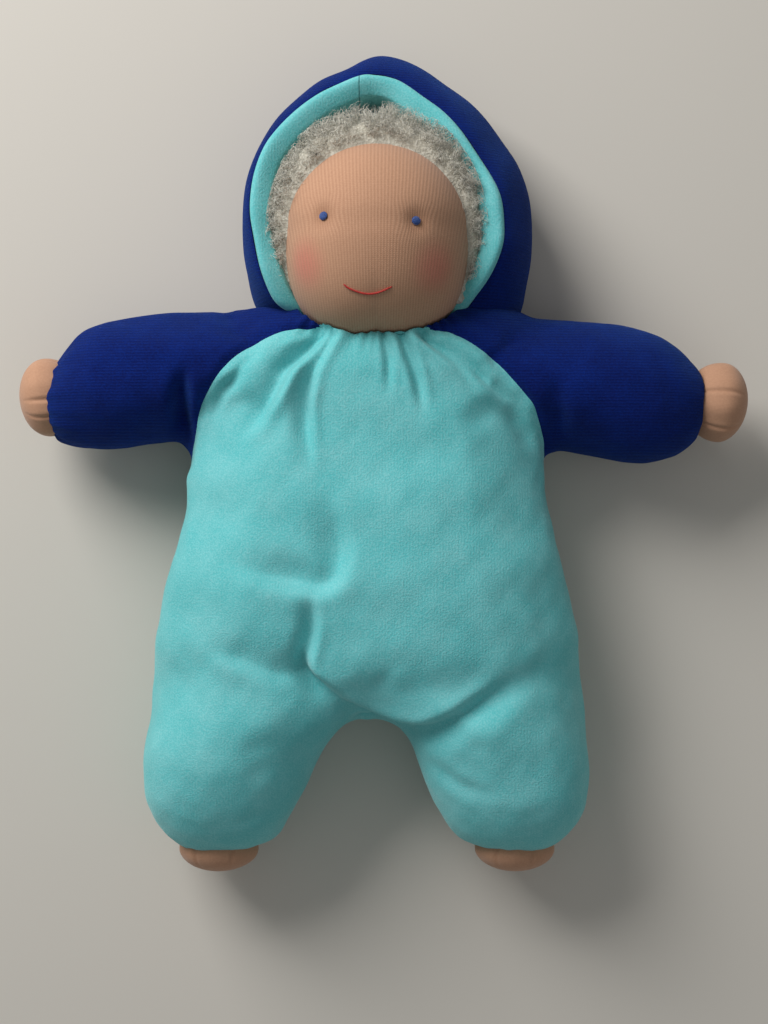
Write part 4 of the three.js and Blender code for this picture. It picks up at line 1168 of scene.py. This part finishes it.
# Each row, from the right of the neck over the tip to the left: the hood's outer edge, its rim
# and the rim's height, all as shares of the hood's half width, height and rim
HOOD_SHARES = [
    (-0.68, 0.01, -0.48, 0.03, 0.77),
    (-0.8, 0.06, -0.6, 0.06, 0.86),
    (-0.865, 0.12, -0.7, 0.1, 0.94),
    (-0.915, 0.22, -0.775, 0.19, 1.0),
    (-0.945, 0.32, -0.835, 0.32, 1.0),
    (-0.95, 0.425, -0.86, 0.42, 1.0),
    (-0.92, 0.545, -0.83, 0.535, 0.98),
    (-0.84, 0.66, -0.765, 0.635, 0.96),
    (-0.725, 0.765, -0.67, 0.706, 0.94),
    (-0.575, 0.853, -0.54, 0.777, 0.91),
    (-0.4, 0.926, -0.395, 0.837, 0.87),
    (-0.21, 0.977, -0.24, 0.877, 0.85),
    (-0.1, 1.008, -0.1, 0.905, 0.84),
    (0.0, 1.024, -0.01, 0.907, 0.83),
    (0.11, 1.019, 0.08, 0.9, 0.83),
    (0.25, 0.994, 0.17, 0.88, 0.84),
    (0.42, 0.944, 0.3, 0.83, 0.87),
    (0.6, 0.873, 0.445, 0.77, 0.9),
    (0.76, 0.79, 0.58, 0.69, 0.93),
    (0.895, 0.692, 0.69, 0.605, 0.95),
    (0.995, 0.61, 0.775, 0.53, 0.98),
    (1.06, 0.51, 0.83, 0.455, 1.0),
    (1.087, 0.4, 0.855, 0.37, 1.0),
    (1.087, 0.28, 0.845, 0.29, 1.0),
    (1.06, 0.18, 0.78, 0.2, 0.97),
    (1.02, 0.09, 0.68, 0.12, 0.9),
    (0.93, 0.02, 0.6, 0.06, 0.82),
    (0.8, -0.01, 0.53, 0.03, 0.78),
]
STATIONS = 9
# Run of the lining from the rim inwards: how far in, and how far up or down, in millimetres
LINING_RUN = [
    (0, 0), (0.6, 1.0), (2.0, 1.7), (4.5, 1.3), (8.2, -0.4), (9.2, -1.6), (9.9, -3.4), (10.6, -7),
    (11.4, -14), (12.6, -24), (15, -36),
]
# Where the lining's seam lies across the hood, and from where it goes up
LINING_SEAM = (-7.4 * MM, 149 * MM)
# Height of the hood's widest line, as a share of the rim's
WIDEST_SHARE = 0.42
# How far up the centre seam at the back goes, as a share of the hood's height, for the outside and the lining
OUTSIDE_SPINE_SHARE, LINING_SPINE_SHARE = 0.8, 0.5
# Height of the cloth on the floor, of the lining on it, and least height of the lining's fold
OUTSIDE_Z, LINING_Z, LINING_FOLD_Z = 0.4 * MM, 3.2 * MM, 4 * MM


def hood_stations():
    """Outer edge and rim of the hood at each station round it, as points."""
    rows = curve(HOOD_SHARES, STATIONS)
    height = HOOD_TIP_Y - NECK[1]
    outer = np.stack([rows[:, 0] * HOOD_HALF_WIDTH, NECK[1] + rows[:, 1] * height], 1)
    rim = np.stack([rows[:, 2] * HOOD_HALF_WIDTH, NECK[1] + rows[:, 3] * height], 1)
    return outer, rim, rows[:, 4] * HOOD_RIM_Z


def spine(outer, reach):
    """Where each station of the hood meets its centre seam at the back, which goes so far up."""
    share = np.clip((outer[:, 1] - NECK[1]) / (HOOD_TIP_Y - NECK[1]), 0, 1)
    return np.stack([np.zeros(len(outer)), NECK[1] + 4 * MM + share * reach * (HOOD_TIP_Y - NECK[1])], 1)


def outside_rows(outer, rim, rim_z):
    """The blue cloth, row by row from the rim, out over the widest line, under and to the centre seam."""
    back = spine(outer, OUTSIDE_SPINE_SHARE)
    widest_z = rim_z * WIDEST_SHARE
    rows = []
    for t in np.linspace(0, math.pi / 2, 20):
        z = rim_z + (widest_z - rim_z) * (1 - math.cos(t)) ** 0.8
        rows.append(np.column_stack([rim + (outer - rim) * math.sin(t), z]))
    for t in np.linspace(0, math.pi / 2, 14)[1:]:
        flat = outer + (back - outer) * 0.2 * (1 - math.cos(t))
        rows.append(np.column_stack([flat, widest_z * (1 - math.sin(t)) + OUTSIDE_Z]))
    edge = outer + (back - outer) * 0.2
    for t in np.linspace(0, 1, 16)[1:]:
        rows.append(np.column_stack([edge + (back - edge) * t, np.full(len(outer), OUTSIDE_Z)]))
    return np.array(rows)


def lining_rows(outer, rim, rim_z):
    """The mint cloth, row by row from the rim, rolled in over it, down inside and to the centre seam."""
    back = spine(outer, LINING_SPINE_SHARE)
    inward = unit(back - rim)
    rows = []
    for away, drop in curve(LINING_RUN, 4):
        z = np.maximum(rim_z + drop * MM, LINING_FOLD_Z)
        rows.append(np.column_stack([rim + inward * away * MM, z]))
    start, low = rows[-1][:, :2], rows[-1][:, 2]
    for t in np.linspace(0, 1, 14)[1:]:
        z = low + (LINING_Z - low) * math.sin(t * math.pi / 2)
        rows.append(np.column_stack([start + (back - start) * t, z]))
    return np.array(rows)


class DOLL_OT_hood(bpy.types.Operator):
    """Sew the pointed hood with its mint lining."""

    bl_idname = "doll.hood"
    bl_label = "Hood"

    def execute(self, context):
        stations = hood_stations()
        outside, inside = outside_rows(*stations), lining_rows(*stations)
        lining = mint_velour("mint cotton velour, lining", LINING_SEAM)
        sheets = (
            ("hood_velour", outside, blue_velour(), "blue_velour", "hood_outer", (0.36, 0.09), 23),
            ("hood_facing", inside, lining, "mint_velour", "hood_lining", (0.33, 0.06), 29),
        )
        for name, rows, material, slot, node, flat, seed in sheets:
            piece = mesh_object(name, rows.reshape(-1, 3), grid_faces(*rows.shape[:2], False))
            points, normals = read_points(piece.data)
            wave = lumps(points, 13 * MM, seed) * 0.4 * MM * step_up(points[:, 2], 2 * MM, 20 * MM)
            write_points(piece.data, points + normals * wave[:, None])
            piece.data.materials.append(material)
            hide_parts(f"{node}_left", f"{node}_right")
            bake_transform(piece)
        return {"FINISHED"}


# Stage

FLOOR_SIZE, FLOOR_DROP = 3.0, 0.5 * MM
# Name, place, width and power of each soft light: the window above the doll's right shoulder, and the room
LIGHTS = (("window", (-0.68, 0.83, 0.74), 0.7, 17), ("fill", (0.5, -0.5, 1.4), 1.4, 1.2))
SKY_COLOUR, SKY_STRENGTH = (0.93, 0.97, 1), 0.23
# The picture's height, and the row of pixels on which the frame's middle lies
PICTURE_HEIGHT, MIDDLE_ROW = 1024, 462.5
# The camera hangs a little to the doll's left, and its scale holds at this height above the floor
CAMERA_X, SCALE_HEIGHT = 3 * MM, 38 * MM


class DOLL_OT_stage(bpy.types.Operator):
    """Lay the plain floor, light it softly and hang the camera over the doll."""

    bl_idname = "doll.stage"
    bl_label = "Floor, light and camera"

    def execute(self, context):
        settings = context.scene.doll_stage
        corners = [(-1, -1, 0), (1, -1, 0), (1, 1, 0), (-1, 1, 0)]
        corners = np.array(corners) * FLOOR_SIZE - [0, 0, FLOOR_DROP]
        floor = mesh_object("floor", corners, [(0, 1, 2, 3)])
        constants = {"Roughness": 0.95, "Specular IOR Level": 0.1, "Base Color": settings.floor}
        floor.data.materials.append(new_material("plain matt floor", constants)[0])
        world = context.scene.world or bpy.data.worlds.new("World")
        context.scene.world = world
        world.use_nodes = True
        sky = world.node_tree.nodes["Background"].inputs
        sky["Color"].default_value = (*SKY_COLOUR, 1)
        sky["Strength"].default_value = SKY_STRENGTH
        for name, spot, wide, power in LIGHTS:
            light = bpy.data.lights.new(name, "AREA")
            light.size = wide
            light.energy = power
            lamp = bpy.data.objects.new(name, light)
            lamp.location = spot
            lamp.rotation_euler = (-Vector(spot)).to_track_quat("-Z", "Y").to_euler()
            context.scene.collection.objects.link(lamp)
        lens = bpy.data.cameras.new("camera")
        lens.lens = lens.sensor_width * settings.distance / (PICTURE_HEIGHT * settings.scale)
        camera = bpy.data.objects.new("camera", lens)
        down = (MIDDLE_ROW - PICTURE_HEIGHT / 2) * settings.scale
        camera.location = (CAMERA_X, down, SCALE_HEIGHT + settings.distance)
        context.scene.collection.objects.link(camera)
        context.scene.camera = camera
        context.scene.view_settings.view_transform = "Standard"
        return {"FINISHED"}


class DOLL_PT_panel(bpy.types.Panel):
    """Sidebar panel with the doll's pieces and settings."""

    bl_idname = "DOLL_PT_panel"
    bl_label = "Cloth doll"
    bl_space_type = "VIEW_3D"
    bl_region_type = "UI"
    bl_category = "Doll"

    def draw(self, context):
        for operator in OPERATORS:
            self.layout.operator(operator.bl_idname)
        for name, kind in SETTINGS.items():
            box = self.layout.box()
            for field in kind.__annotations__:
                box.prop(getattr(context.scene, name), field)


OPERATORS = (
    DOLL_OT_suit,
    DOLL_OT_hands_and_feet,
    DOLL_OT_head,
    DOLL_OT_face,
    DOLL_OT_wig,
    DOLL_OT_hood,
    DOLL_OT_stage,
)
SETTINGS = {
    "doll_cloths": ClothSettings,
    "doll_stuffing": StuffingSettings,
    "doll_hair": HairSettings,
    "doll_stage": StageSettings,
}


def register():
    """Registers the settings, the operators and the panel."""
    for name, kind in SETTINGS.items():
        bpy.utils.register_class(kind)
        setattr(bpy.types.Scene, name, PointerProperty(type=kind))
    for kind in (*OPERATORS, DOLL_PT_panel):
        bpy.utils.register_class(kind)


def unregister():
    """Takes everything back that register added."""
    for kind in reversed((*OPERATORS, DOLL_PT_panel)):
        bpy.utils.unregister_class(kind)
    for name, kind in SETTINGS.items():
        delattr(bpy.types.Scene, name)
        bpy.utils.unregister_class(kind)


def main():
    """Makes the whole doll."""
    register()
    for operator in OPERATORS:
        group, name = operator.bl_idname.split(".")
        getattr(getattr(bpy.ops, group), name)()


if __name__ == "__main__":
    main()
